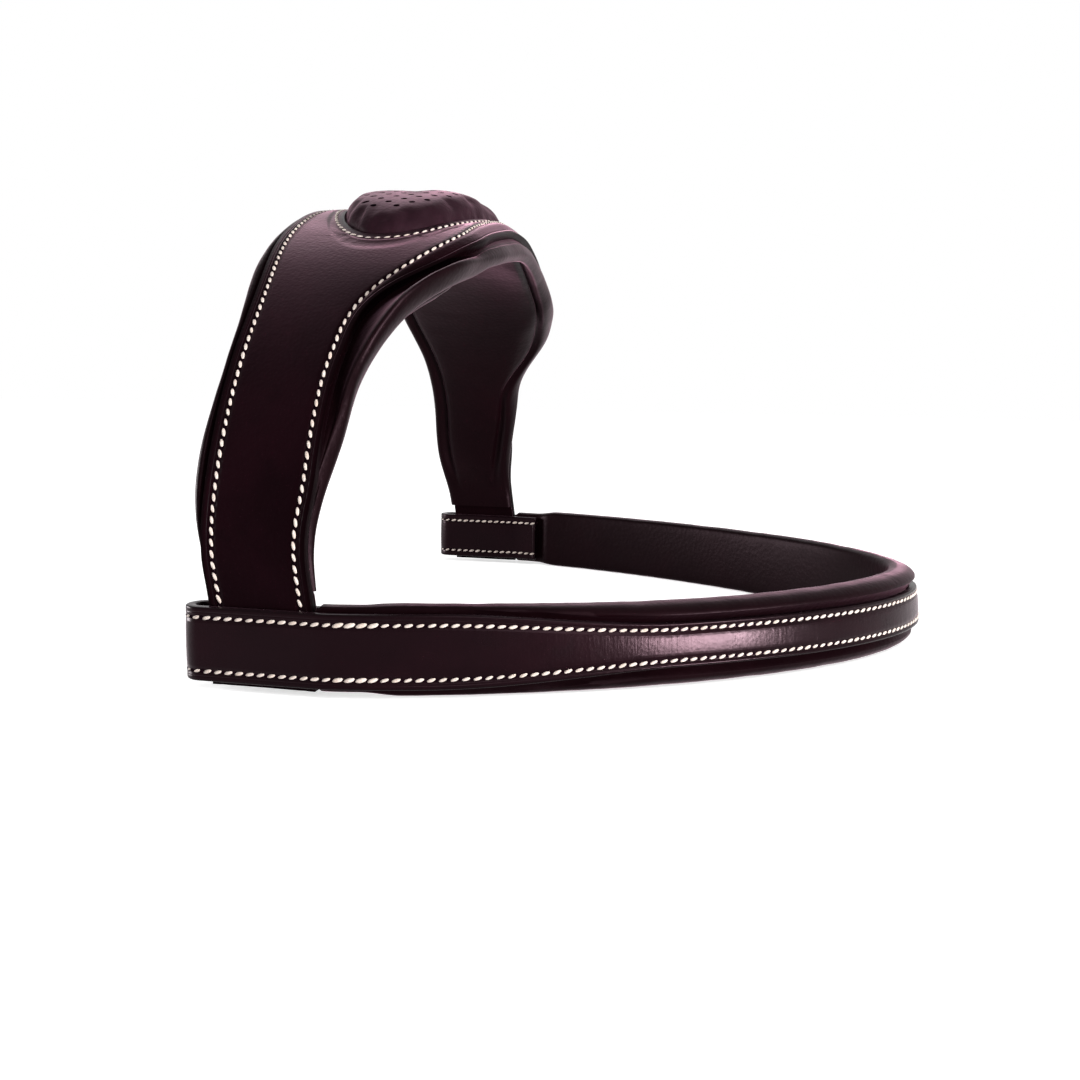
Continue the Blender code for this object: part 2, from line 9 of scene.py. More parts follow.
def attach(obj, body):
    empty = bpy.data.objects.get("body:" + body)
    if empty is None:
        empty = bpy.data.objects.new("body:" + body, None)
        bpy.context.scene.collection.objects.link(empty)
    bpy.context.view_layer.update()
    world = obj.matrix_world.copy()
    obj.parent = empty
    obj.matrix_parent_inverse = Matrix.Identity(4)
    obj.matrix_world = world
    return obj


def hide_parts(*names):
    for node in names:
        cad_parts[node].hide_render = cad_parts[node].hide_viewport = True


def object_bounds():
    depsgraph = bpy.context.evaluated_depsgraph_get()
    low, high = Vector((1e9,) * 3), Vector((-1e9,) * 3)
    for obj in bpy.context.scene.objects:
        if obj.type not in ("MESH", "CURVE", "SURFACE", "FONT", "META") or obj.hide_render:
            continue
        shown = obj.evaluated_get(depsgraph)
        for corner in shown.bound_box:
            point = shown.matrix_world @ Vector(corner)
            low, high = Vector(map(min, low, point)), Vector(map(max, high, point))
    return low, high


bl_info = {
    "name": "Bridle headpiece and browband",
    "version": (1, 0, 0),
    "blender": (4, 5, 0),
    "location": "3D View > Sidebar > Bridle",
    "description": "Leather, padding, perforations and stitching for a headpiece and its browband",
    "category": "Add Mesh",
}

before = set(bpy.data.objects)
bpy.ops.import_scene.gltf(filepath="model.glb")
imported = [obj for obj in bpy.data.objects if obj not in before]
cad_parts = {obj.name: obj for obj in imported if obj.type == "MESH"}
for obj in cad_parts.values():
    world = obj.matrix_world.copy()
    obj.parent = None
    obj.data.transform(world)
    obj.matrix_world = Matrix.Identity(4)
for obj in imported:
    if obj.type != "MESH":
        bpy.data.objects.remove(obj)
CAD_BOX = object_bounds()

# The part's own sizes, in metres, as its CAD source has them
BAND_DEPTH = 0.1627
BAND_HALF_WIDTH = 0.1040
BAND_FRONT_POWER = 1.48
BAND_SIDE_POWER = 1.143
BAND_THICKNESS = 0.0077
BAND_HEIGHT = 0.0200
BAND_STRAP_THICKNESS = 0.0024
BAND_STRAP_HEIGHT = 0.0173
BAND_STRIP_HEIGHT = 0.0104
TAPER_START = 0.098
TAPER_LENGTH = 0.060
STRIP_RAISE = 0.0012
LINING_SKIN = 0.0009
BAND_ROLL = 0.0030
BAND_CROWN = 0.0004
LOOP_LENGTH = 0.0396
LOOP_REAR = 0.0091
LOOP_THICKNESS = 0.0095
PAD_TUCK = 0.0074
LOOP_STRAIGHT = 0.0240
LOOP_LAP = 0.0034
CROWN_APEX = 0.1233
CROWN_SHOULDER = 0.0268
CROWN_SIDE_POWER = 1.0
CROWN_TOP_POWER = 1.175
CROWN_LEATHER = 0.0022
BACKING_THICKNESS = 0.0014
STRAP_WIDTH = 0.0266
STRAP_CENTRE = 0.0082
STRAP_STEP = 0.0020
POLL_FRONT = 0.0437
POLL_REAR = 0.0105
POLL_DROOP = 0.0048
POLL_MARGIN = 0.0028
EDGE_ROLL = 0.0018
SIDE_PLAY = 0.0004
PAD_DEPTH = 0.0095
PAD_CROWN = 0.0012
PAD_END = 0.0224
PAD_TAPER = 0.0320
RIM_FRONT = 0.0027
RIM_REAR = 0.0024
RIM_BULGE = 0.0014
RIM_PROUD = 0.0013
RIM_ROLL = 0.0056
RIM_GROOVE = 0.0016
LIP = 0.0015
WING_FLARE = 0.0084
CUSHION_WIDTH = 0.0392
CUSHION_LENGTH = 0.1050
CUSHION_CENTRE = 0.0178
CUSHION_HEIGHT = 0.0054
CUSHION_SQUARENESS = 2.5
CUSHION_ROUNDNESS = 2.0
CUSHION_SEAM = 0.0024
CUSHION_SKIN = 0.0010
WINDOW_PLAY = 0.0006
GAP = 0.0003

BAND_OUTER = BAND_THICKNESS / 2
BAND_MIDDLE_Z = BAND_HEIGHT / 2
LOOP_SEAM = LOOP_LENGTH - LOOP_REAR
STRAP_FACE = BAND_HALF_WIDTH + BAND_OUTER - BAND_STRAP_THICKNESS - SIDE_PLAY
CROWN_RISE = CROWN_APEX - CROWN_SHOULDER
UNDER_LEATHER = CROWN_LEATHER + GAP
UNDER_BACKING = UNDER_LEATHER + BACKING_THICKNESS + GAP
ORIGIN_X = CAD_BOX[0][0] + POLL_REAR + RIM_REAR
CURVE_STEPS = 400

# What only the visible model has
ROW_DEPTH = 0.00018
BAND_ROW_DEPTH = 0.00016
BAND_TILT = 0.12
LOOP_CALM = 0.004
PANEL_STEP = 0.0022
TURN_UNDER = 0.0012
CLOTH_SCALE = 10.0
CLOTH_FRAMES = 20
CLOTH_REACH = 0.0010
HOLE_DEPTH = 0.0012
PADDING_COLUMNS = 72
FLOOR_Z = -0.0010
FLOOR_REACH = 6.0
LAMP_AIM = (0.0, 0.0, 0.06)
CAMERA_PLACE = (0.11751 + ORIGIN_X, -0.32453, 0.06691)
CAMERA_YAW, CAMERA_PITCH, CAMERA_ROLL = 0.19426, 0.13242, 0.01853
WHITE = (1.0, 1.0, 1.0, 1.0)


def ease(value, start, end):
    """Rise smoothly from 0 at start to 1 at end."""
    share = np.clip((np.asarray(value, float) - start) / (end - start), 0.0, 1.0)
    return share * share * (3 - 2 * share)


def bump(value, centre, width):
    """1 at the centre, fading to nothing about two widths away."""
    return np.exp(-((np.asarray(value) - centre) / width) ** 2)


class Path:
    """A plane curve read by its length, with its normal on the left of its direction."""

    def __init__(self, points):
        self.points = np.array(points)
        steps = np.linalg.norm(np.diff(self.points, axis=0), axis=1)
        self.length_at = np.concatenate([[0.0], np.cumsum(steps)])
        self.length = float(self.length_at[-1])

    def at(self, distance):
        return [np.interp(distance, self.length_at, self.points[:, axis]) for axis in (0, 1)]

    def normal(self, distance):
        step = self.length / CURVE_STEPS
        ahead = self.at(np.minimum(distance + step, self.length))
        behind = self.at(np.maximum(distance - step, 0.0))
        along = np.array([ahead[0] - behind[0], ahead[1] - behind[1]])
        along = along / np.linalg.norm(along, axis=0)
        return -along[1], along[0]


def arch_line():
    """The outer leather's arch from the poll down to the strap's end, in Y and Z."""
    turn = np.linspace(0.0, math.pi / 2, CURVE_STEPS + 1)
    y = STRAP_FACE * np.sin(turn) ** CROWN_SIDE_POWER
    z = CROWN_SHOULDER + CROWN_RISE * np.maximum(np.cos(turn), 0.0) ** CROWN_TOP_POWER
    return np.vstack([np.stack([y, z], axis=-1), [[STRAP_FACE, 0.0]]])


def band_line():
    """The browband's middle line from its front to the end of a loop, in X and Y."""
    turn = np.linspace(0.0, math.pi / 2, CURVE_STEPS + 1)
    reach = np.maximum(np.cos(turn), 0.0) ** BAND_FRONT_POWER
    x = LOOP_STRAIGHT + (BAND_DEPTH - LOOP_STRAIGHT) * reach
    y = BAND_HALF_WIDTH * np.sin(turn) ** BAND_SIDE_POWER
    end = [[LOOP_THICKNESS / 2 - LOOP_REAR, BAND_HALF_WIDTH]]
    return np.vstack([np.stack([x, y], axis=-1), end])


ARCH = Path(arch_line())
BAND = Path(band_line())
ARCH_TO_SHOULDER = ARCH.length - CROWN_SHOULDER
PAD_LENGTH = ARCH.length - PAD_END
SEAM_AT = BAND.length + LOOP_THICKNESS / 2 - LOOP_REAR - LOOP_SEAM
LAP_END = SEAM_AT - LOOP_LAP


def arch_place(distance, forward, outwards):
    """Points of the headpiece: signed length along the arch, place along the horse, and
    height over the outer leather's surface."""
    distance, forward, outwards = np.broadcast_arrays(distance, forward, outwards)
    side = np.where(distance < 0, -1.0, 1.0)
    y, z = ARCH.at(np.abs(distance))
    normal_y, normal_z = ARCH.normal(np.abs(distance))
    return np.stack([forward + ORIGIN_X, side * (y + outwards * normal_y),
                     z + outwards * normal_z], axis=-1)


def band_place(distance, outwards, height):
    """Points of the browband: signed length along it from the front, outwards and up."""
    distance, outwards, height = np.broadcast_arrays(distance, outwards, height)
    side = np.where(distance < 0, -1.0, 1.0)
    x, y = BAND.at(np.abs(distance))
    normal_x, normal_y = BAND.normal(np.abs(distance))
    return np.stack([x - outwards * normal_x + ORIGIN_X, side * (y - outwards * normal_y),
                     height], axis=-1)


def arch_normal(distance):
    """The direction straight out of the headpiece."""
    distance = np.asarray(distance, float)
    side = np.where(distance < 0, -1.0, 1.0)
    normal_y, normal_z = ARCH.normal(np.abs(distance))
    return np.stack([np.zeros_like(distance), side * normal_y, normal_z], axis=-1)


def share_down(distance):
    """0 at the poll and 1 at the arch's shoulder."""
    return np.abs(distance) / ARCH_TO_SHOULDER


def strap_shift(distance):
    """How far the strap steps forward above the loop."""
    height = ARCH.length - np.abs(distance)
    return STRAP_STEP * (1 - ease(height, CROWN_SHOULDER * 0.3, CROWN_SHOULDER * 1.5))


def poll_share(distance):
    """1 over the poll, where the leather's front margin is wider and rolls over."""
    return ease(distance, -0.090, -0.062) * (1 - ease(distance, -0.005, 0.055))


def poll_margin(distance):
    """What the leather's front edge gains over the poll."""
    return POLL_MARGIN * poll_share(distance)


def leather_front(distance):
    """The outer leather's front edge along the horse."""
    strap = STRAP_CENTRE + STRAP_WIDTH / 2
    down = share_down(distance)
    widening = 1 - ease(down, 0.30, 0.62)
    trim = (0.0013 * bump(down, 0.60, 0.07) - 0.0014 * ease(down, 0.85, 0.97)
            + 0.0008 * ease(down, 0.96, 1.10))
    return (strap + (POLL_FRONT - strap) * widening + strap_shift(distance) + trim
            + poll_margin(distance))


def leather_rear(distance):
    """The outer leather's rear edge along the horse."""
    strap = STRAP_CENTRE - STRAP_WIDTH / 2
    down = share_down(distance)
    widening = 1 - ease(down, 0.10, 0.60)
    trim = 0.0008 * ease(down, 0.97, 1.06) - 0.0010 * bump(down, 0.36, 0.12)
    return strap + (-POLL_REAR - strap) * widening + strap_shift(distance) + trim


def rim_front(distance):
    """The lining's front edge: wide over the wing, and drawn in to the strap near the loop."""
    strap = STRAP_CENTRE + STRAP_WIDTH / 2
    down = share_down(distance)
    wide = strap + (POLL_FRONT - strap) * (1 - ease(down, 0.41, 0.70))
    full = 0.0022 * ease(down, 0.45, 0.66)
    far_wing = 0.0041 * bump(distance, 0.0895, 0.010) - 0.0009 * bump(distance, 0.066, 0.006)
    drawn = 0.0060 * ease(down, 0.68, 0.96)
    poll = 0.85 * POLL_MARGIN * ease(distance, -0.064, -0.034) * (1 - ease(distance, -0.005, 0.055))
    return wide + strap_shift(distance) + RIM_FRONT + full + far_wing + poll - drawn


def rim_rear(distance):
    """The lining's rear edge along the horse."""
    down = share_down(distance)
    bulge = ease(down, 0.68, 0.84) * (1 - ease(down, 0.86, 1.02))
    shoulder = 0.0016 * bump(down, 0.46, 0.10)
    thinning = 1 - 0.6 * ease(down, 0.86, 1.0)
    return leather_rear(distance) - RIM_REAR * thinning - RIM_BULGE * bulge - shoulder


def droop(distance, forward):
    """How far the leather falls away towards its edges over the poll."""
    fade = 1 - ease(share_down(distance), 0.12, 0.45)
    reach = (forward - STRAP_CENTRE) / (POLL_FRONT - STRAP_CENTRE)
    ahead = POLL_DROOP * np.maximum(reach, 0.0) ** 2
    behind = 0.25 * POLL_DROOP * np.maximum(-reach, 0.0) ** 2
    row = leather_front(distance) - poll_margin(distance) - 0.0016
    rolled = EDGE_ROLL * poll_share(distance) * ease(forward - row, 0.0, 0.0048)
    return -(ahead + behind) * fade - rolled


def flare(distance, forward):
    """How far the lining's wing lifts outwards past the leather."""
    down = share_down(distance)
    begin = 0.36 - 0.10 * ease(-distance, 0.0, 0.02)
    lift = WING_FLARE * ease(down, begin, 0.56) * (1 - ease(down, 0.61, 0.80))
    edge = leather_front(distance) + 2 * GAP
    room = rim_front(distance) - edge
    reach = np.clip((forward - edge) / room, 0.0, 1.0)
    return np.minimum(lift, 0.75 * room) * reach ** 1.2


def pad_depth(distance):
    """Depth of the padding under the outer leather's surface."""
    height = ARCH.length - np.abs(distance)
    thin = UNDER_BACKING + LINING_SKIN
    return thin + (PAD_DEPTH - thin) * ease(height, PAD_END - 0.004, PAD_END + PAD_TAPER)


def lining_outline(distance):
    """The lining's outer face across the arch, from lip to lip, as in the CAD source."""
    rear = float(rim_rear(distance))
    front = float(rim_front(distance))
    edge = float(leather_rear(distance))
    deep = -float(pad_depth(distance))
    thickness = -UNDER_LEATHER - deep
    full = float(ease(thickness, 0.0035, 0.0065))
    groove = RIM_GROOVE * full
    crown = PAD_CROWN * full
    half_roll = RIM_ROLL / 2
    lip = float(leather_front(distance)) - LIP
    clear = min(lip + LIP + 2 * GAP, lip + 0.5 * (front - TURN_UNDER - lip))
    rise = float(ease(edge - rear, 0.0012, 0.0022))
    top = -UNDER_LEATHER
    roll = UNDER_LEATHER - RIM_PROUD
    raised = 0.9 * EDGE_ROLL * float(poll_share(distance))
    return [
        (edge + LIP, top),
        (edge - 0.12 * (edge - rear), top),
        (rear + 0.52 * (edge - rear), top + (roll + 0.0006) * rise),
        (rear + 0.12 * (edge - rear), top + (roll - 0.0001) * rise),
        (rear, top - 0.20 * thickness),
        (rear + 0.0010, deep + 0.15 * thickness),
        (rear + half_roll, deep),
        (rear + RIM_ROLL, deep + groove),
        (rear + RIM_ROLL + PANEL_STEP, deep - 0.3 * crown),
        ((rear + front) / 2, deep - crown + 0.3 * raised),
        (front - RIM_ROLL - PANEL_STEP, deep - 0.3 * crown + 0.8 * raised),
        (front - RIM_ROLL, deep + groove + raised),
        (front - half_roll, deep + raised),
        (front - 0.0010, deep + 0.15 * thickness + 0.8 * raised),
        (front, top - 0.45 * thickness + 0.4 * raised),
        (front - TURN_UNDER, top - 0.06 * thickness),
        ((front - TURN_UNDER + clear) / 2, top - 0.03 * thickness),
        (clear, top),
        (lip, top),
    ]


def cushion_edge(angle, grow):
    """The cushion's outline over the poll: along the arch and along the horse."""
    cosine, sine = np.cos(angle), np.sin(angle)
    power = 2 / np.where(sine < 0, CUSHION_ROUNDNESS, CUSHION_SQUARENESS)
    along = (CUSHION_LENGTH / 2 + grow) * np.sign(cosine) * np.abs(cosine) ** power
    across = (CUSHION_WIDTH / 2 + grow) * np.sign(sine) * np.abs(sine) ** power
    return along, CUSHION_CENTRE + across


def cushion_share(along, forward, grow=0.0):
    """0 at the cushion's middle and 1 on its outline."""
    u = np.abs(along) / (CUSHION_LENGTH / 2 + grow)
    v = np.abs(forward - CUSHION_CENTRE) / (CUSHION_WIDTH / 2 + grow)
    power = np.where(forward < CUSHION_CENTRE, CUSHION_ROUNDNESS, CUSHION_SQUARENESS)
    return (u ** power + v ** power) ** (1 / power)


def window_half(distance, power):
    """Half the window's width on one side of its middle."""
    u = min(abs(distance) / (CUSHION_LENGTH / 2 + WINDOW_PLAY), 1.0)
    return (CUSHION_WIDTH / 2 + WINDOW_PLAY) * (1 - u ** power) ** (1 / power)


def narrowing(distance):
    """1 across the forehead, where the strip is narrow, and 0 by the loops."""
    return 1 - ease(np.abs(distance), TAPER_START, TAPER_START + TAPER_LENGTH)


def strap_half_height(distance):
    return (BAND_STRAP_HEIGHT + (BAND_STRIP_HEIGHT - BAND_STRAP_HEIGHT) * narrowing(distance)) / 2


def band_tuck(distance):
    """1 where the padding is tucked between the loop's two layers."""
    return ease(np.abs(distance), LAP_END - 0.0045, LAP_END - 0.0008)


def band_lining_outline(distance):
    """The browband lining's outer face, from lip to lip over the inner side."""
    tuck = float(band_tuck(distance))
    lowered = float(ease(abs(distance), SEAM_AT + 0.0060, SEAM_AT + 0.0086))
    half = BAND_HEIGHT / 2 - (BAND_HEIGHT - BAND_STRAP_HEIGHT + 0.001) / 2 * lowered
    edge = min(float(strap_half_height(distance)), half - LINING_SKIN)
    back = BAND_OUTER - BAND_STRAP_THICKNESS - GAP
    tucked_in = BAND_OUTER - LOOP_THICKNESS + BAND_STRAP_THICKNESS + GAP
    inner = -BAND_OUTER + (tucked_in + BAND_OUTER) * tuck
    crown = BAND_CROWN * (1 - tuck)
    margin = half - edge
    bulge = min(BAND_ROLL, max(0.75 * (margin - 0.0012), 0.0))
    upper = [
        (back, edge - LIP),
        (back + 0.6 * bulge, edge + GAP + 0.15 * (margin - GAP)),
        (back + bulge, edge + 0.5 * margin),
        (back + 0.5 * bulge - 0.0004, edge + 0.86 * margin),
        (back - 0.0014, half),
        (inner + 0.0015, half),
        (inner, half - 0.0016),
    ]
    return upper + [(inner - crown, 0.0)] + [(out, -up) for out, up in reversed(upper)]


def row_gap(distance):
    """Half the gap between the browband's two rows of stitching."""
    return strap_half_height(distance) - 0.0024 + 0.0008 * narrowing(distance)


# Mesh helpers
def smooth_line(points, parts):
    """A smooth line through points, with parts pieces between each two of them."""
    line = np.array(points)
    padded = np.vstack([2 * line[:1] - line[1:2], line, 2 * line[-1:] - line[-2:-1]])
    rows = []
    for index in range(len(line) - 1):
        a, b, c, d = padded[index:index + 4]
        for share in np.arange(parts) / parts:
            rows.append(0.5 * (2 * b + (c - a) * share + (2 * a - 5 * b + 4 * c - d) * share ** 2
                               + (3 * b - a - 3 * c + d) * share ** 3))
    return np.array(rows + [line[-1]])


def even_line(line, count):
    """The same line with count evenly spaced points."""
    steps = np.linalg.norm(np.diff(line, axis=0), axis=1)
    length_at = np.concatenate([[0.0], np.cumsum(steps)])
    places = np.linspace(0.0, length_at[-1], count)
    return np.stack([np.interp(places, length_at, line[:, axis])
                     for axis in range(line.shape[1])], axis=-1)


def set_attribute(mesh, name, values, kind="FLOAT"):
    attribute = mesh.attributes.new(name, kind, "POINT")
    field = "vector" if kind == "FLOAT_VECTOR" else "value"
    attribute.data.foreach_set(field, np.ravel(values).astype(np.float32))


def grid_mesh(name, points, outside, attributes=None, skip=()):
    """A sheet from rows of points, its faces turned towards outside at its middle."""
    rows, columns = points.shape[:2]
    index = np.arange(rows * columns).reshape(rows, columns)
    keep = np.array([column for column in range(columns - 1) if column not in skip])
    faces = np.stack([index[:-1, keep], index[:-1, keep + 1], index[1:, keep + 1],
                      index[1:, keep]], axis=-1).reshape(-1, 4)
    middle = faces[(rows - 1) // 2 * len(keep) + len(keep) // 2]
    a, b, c, _ = points.reshape(-1, 3)[middle]
    if np.dot(np.cross(b - a, c - b), outside) < 0:
        faces = faces[:, ::-1]
    mesh = bpy.data.meshes.new(name)
    mesh.from_pydata(points.reshape(-1, 3).tolist(), [], faces.tolist())
    for key, values in (attributes or {}).items():
        set_attribute(mesh, key, values)
    mesh.shade_smooth()
    return mesh


def add_object(name, data):
    """A new object with that data, in the scene."""
    thing = bpy.data.objects.new(name, data)
    bpy.context.scene.collection.objects.link(thing)
    return thing


def add_piece(name, mesh, material):
    """A new object whose whole mesh has the material of that name."""
    mesh.materials.clear()
    mesh.materials.append(bpy.data.materials[material])
    return add_object(name, mesh)


def keep_result(piece):
    """Turn a piece's live modifiers into plain mesh."""
    graph = bpy.context.evaluated_depsgraph_get()
    mesh = bpy.data.meshes.new_from_object(piece.evaluated_get(graph), depsgraph=graph)
    piece.modifiers.clear()
    piece.data = mesh


def shade(mesh, sharp=40.0):
    """Smooth shading, with edges over the sharp angle, in degrees, left sharp."""
    mesh.shade_smooth()
    mesh.set_sharp_from_angle(angle=math.radians(sharp))


def settle(piece):
    """Keep a piece's modifiers, and shade it."""
    keep_result(piece)
    piece.data.name = piece.name
    shade(piece.data)


def thicken(piece, thickness, edge=0.0, segments=3, even=True):
    solidify = piece.modifiers.new("Thickness", "SOLIDIFY")
    solidify.thickness = thickness
    solidify.offset = -1.0
    solidify.use_even_offset = even
    if edge > 0:
        bevel = piece.modifiers.new("Edges", "BEVEL")
        bevel.width = edge
        bevel.segments = segments
        bevel.limit_method = "ANGLE"
        bevel.angle_limit = math.radians(60)
    settle(piece)


def ease_rows(points, reach):
    """Rows of points, each drawn towards the rows beside it; reach is in rows."""
    share = np.exp(-(np.arange(-2 * reach, 2 * reach + 1) / reach) ** 2)
    share /= share.sum()
    padded = np.concatenate([np.repeat(points[:1], 2 * reach, axis=0), points,
                             np.repeat(points[-1:], 2 * reach, axis=0)])
    eased = sum(part * padded[index:index + len(points)] for index, part in enumerate(share))
    calm = np.minimum(np.arange(len(points)), np.arange(len(points))[::-1]) / (2.0 * reach)
    calm = np.clip(calm, 0.0, 1.0).reshape(-1, *[1] * (points.ndim - 1))
    return points + (eased - points) * calm


def weld(mesh, distance):
    bm = bmesh.new()
    bm.from_mesh(mesh)
    bmesh.ops.remove_doubles(bm, verts=bm.verts, dist=distance)
    bm.to_mesh(mesh)
    bm.free()


def swell(mesh, held, pressure):
    """Blow a padded mesh up as cloth, sewn down where held is 1, and keep the result.

    The cloth is simulated larger than life, so that its stiffness suits its size, and no point
    moves by more than CLOTH_REACH."""
    scene = bpy.context.scene
    cloth_mesh = mesh.copy()
    cloth_mesh.transform(Matrix.Scale(CLOTH_SCALE, 4))
    piece = add_object("swelling", cloth_mesh)
    group = piece.vertex_groups.new(name="sewn")
    for index in np.flatnonzero(held):
        group.add([int(index)], float(held[index]), "REPLACE")
    cloth = piece.modifiers.new("Cloth", "CLOTH").settings
    cloth.quality = 6
    cloth.mass = 0.3
    cloth.tension_stiffness = cloth.compression_stiffness = 12.0
    cloth.bending_stiffness = 0.3
    cloth.shrink_min = -0.03
    cloth.use_pressure = True
    cloth.uniform_pressure_force = pressure
    cloth.vertex_group_mass = "sewn"
    cloth.effector_weights.gravity = 0.0
    piece.modifiers["Cloth"].point_cache.frame_end = CLOTH_FRAMES
    for frame_number in range(1, CLOTH_FRAMES + 1):
        scene.frame_set(frame_number)
    graph = bpy.context.evaluated_depsgraph_get()
    blown = piece.evaluated_get(graph).data
    before, after = np.empty(len(mesh.vertices) * 3), np.empty(len(mesh.vertices) * 3)
    mesh.vertices.foreach_get("co", before)
    blown.vertices.foreach_get("co", after)
    move = (after / CLOTH_SCALE - before).reshape(-1, 3)
    far = np.linalg.norm(move, axis=1)
    move *= (CLOTH_REACH * np.tanh(far / CLOTH_REACH) / np.maximum(far, 1e-9))[:, None]
    mesh.vertices.foreach_set("co", before + move.ravel())
    mesh.update()
    scene.frame_set(1)
    bpy.data.objects.remove(piece, do_unlink=True)


def roughen(points, scale, height, seed):
    """How far gentle, seeded unevenness lifts each point."""
    shape = points.shape[:-1]
    values = [noise.noise(Vector(point) * scale + Vector((seed, 2.0 * seed, 0.0)))
              for point in points.reshape(-1, 3)]
    return height * np.array(values).reshape(shape)


# Node helpers
class Nodes:
    """A small shorthand for building a node tree."""

    def __init__(self, tree):
        self.tree = tree

    def add(self, kind, settings=None, **inputs):
        node = self.tree.nodes.new(kind)
        for key, value in (settings or {}).items():
            setattr(node, key, value)
        self.set(node, **inputs)
        return node

    def set(self, node, **inputs):
        """Set inputs by name, or by place as n0, n1 and so on."""
        for key, value in inputs.items():
            self.put(node, key.replace("_", " "), value)

    def put(self, node, key, value):
        """Set one input to a value, a socket or a node's first output."""
        by_place = key[0] == "n" and key[1:].isdigit()
        socket = node.inputs[int(key[1:]) if by_place else key]
        if isinstance(value, bpy.types.Node):
            value = value.outputs[0]
        if isinstance(value, bpy.types.NodeSocket):
            self.tree.links.new(value, socket)
        else:
            socket.default_value = value

    def math(self, operation, first, second=0.0, third=0.0):
        node = self.tree.nodes.new("ShaderNodeMath")
        node.operation = operation
        for place, value in enumerate((first, second, third)):
            self.put(node, f"n{place}", value)
        return node.outputs[0]

    def ramp(self, value, low, high, start=0.0, end=1.0):
        node = self.tree.nodes.new("ShaderNodeMapRange")
        node.interpolation_type = "SMOOTHSTEP"
        for place, number in enumerate((value, low, high, start, end)):
            self.put(node, f"n{place}", number)
        return node.outputs[0]

    def mix(self, share, first, second):
        node = self.add("ShaderNodeMix", {"data_type": "RGBA"}, n0=share, n6=first, n7=second)
        return node.outputs[2]

    def noise(self, place, scale, detail, roughness=0.5):
        """Noise at a place, from 0 to 1."""
        return self.add("ShaderNodeTexNoise", Vector=place, Scale=scale, Detail=detail,
                        Roughness=roughness).outputs["Fac"]

    def attribute(self, name, vector=False):
        node = self.tree.nodes.new("ShaderNodeAttribute")
        node.attribute_name = name
        return node.outputs["Vector" if vector else "Fac"]


def new_material(name):
    """A material's node shorthand and its shader."""
    material = bpy.data.materials.new(name)
    material.use_nodes = True
    return Nodes(material.node_tree), material.node_tree.nodes["Principled BSDF"]


def colour4(colour, factor=1.0):
    return (colour[0] * factor, colour[1] * factor, colour[2] * factor, 1.0)


def leather_material(name, colour, roughness, grain=0.00004, pebble=1100.0, wear=1.9,
                     crease=0.0, wrinkle=0.0, sheen=0.52, gloss=0.015):
    """Finished leather: a fine pebbled grain, uneven dye and a lighter worn bloom. A crease is
    how far in from the edge a line is pressed, and brings burnt edges and pulled-in seams,
    whose channels are darkened with painted shade."""
    nodes, shader = new_material(name)
    place = nodes.add("ShaderNodeTexCoord").outputs["Object"]
    pebbles = nodes.add("ShaderNodeTexVoronoi", {"feature": "SMOOTH_F1"}, Vector=place,
                        Scale=pebble, Smoothness=0.6, Randomness=1.0)
    pores = nodes.noise(place, pebble * 2.6, 2.0)
    cloud = nodes.noise(place, 34.0, 4.0, 0.55)
    smear = nodes.noise(place, 150.0, 5.0, 0.6)
    bloom = nodes.ramp(cloud, 0.42, 0.72)
    colours = nodes.mix(bloom, colour4(colour), colour4(colour, wear))
    speck = nodes.ramp(smear, 0.52, 0.75, 0.0, 0.55)
    colours = nodes.mix(speck, colours, colour4(colour, 0.55))
    height = nodes.math("MULTIPLY", pebbles.outputs["Distance"], grain)
    height = nodes.math("MULTIPLY_ADD", pores, grain * 0.5, height)
    rough = nodes.math("MULTIPLY_ADD", smear, 0.16, roughness - 0.08)
    worn = sheen
    if crease:
        edge = nodes.attribute("edge")
        worn = nodes.ramp(edge, 0.0003, 0.0016, 0.08 * sheen, sheen)
        line = nodes.math("ABSOLUTE", nodes.math("SUBTRACT", edge, crease))
        line = nodes.ramp(line, 0.0, 0.00028, 1.0, 0.0)
        height = nodes.math("MULTIPLY_ADD", line, -0.00012, height)
        burnt = nodes.ramp(edge, 0.0001, 0.0009, 0.75, 0.0)
        colours = nodes.mix(burnt, colours, colour4(colour, 0.45))
        row = nodes.attribute("row")
        seam_dent_and_shade = nodes.ramp(row, 0.0002, 0.0013, 1.0, 0.0)
        height = nodes.math("MULTIPLY_ADD", seam_dent_and_shade, -0.00022, height)
        # painted shade: the colour darkens in the pressed channel along each stitch row
        colours = nodes.mix(nodes.math("MULTIPLY", seam_dent_and_shade, 0.35), colours, colour4(colour, 0.5))
    if wrinkle:
        flow = nodes.attribute("flow", vector=True)
        folds = nodes.ramp(nodes.noise(flow, 1.0, 3.0, 0.55), 0.35, 0.7)
        height = nodes.math("MULTIPLY_ADD", folds, wrinkle, height)
    relief = nodes.add("ShaderNodeBump", Strength=1.0, Distance=1.0, Height=height)
    nodes.set(shader, Base_Color=colours, Roughness=rough, Normal=relief,
              Specular_IOR_Level=gloss, Specular_Tint=(1.0, 0.62, 0.74, 1.0),
              Sheen_Weight=worn, Sheen_Roughness=0.28, Sheen_Tint=(1.0, 0.52, 0.69, 1.0))


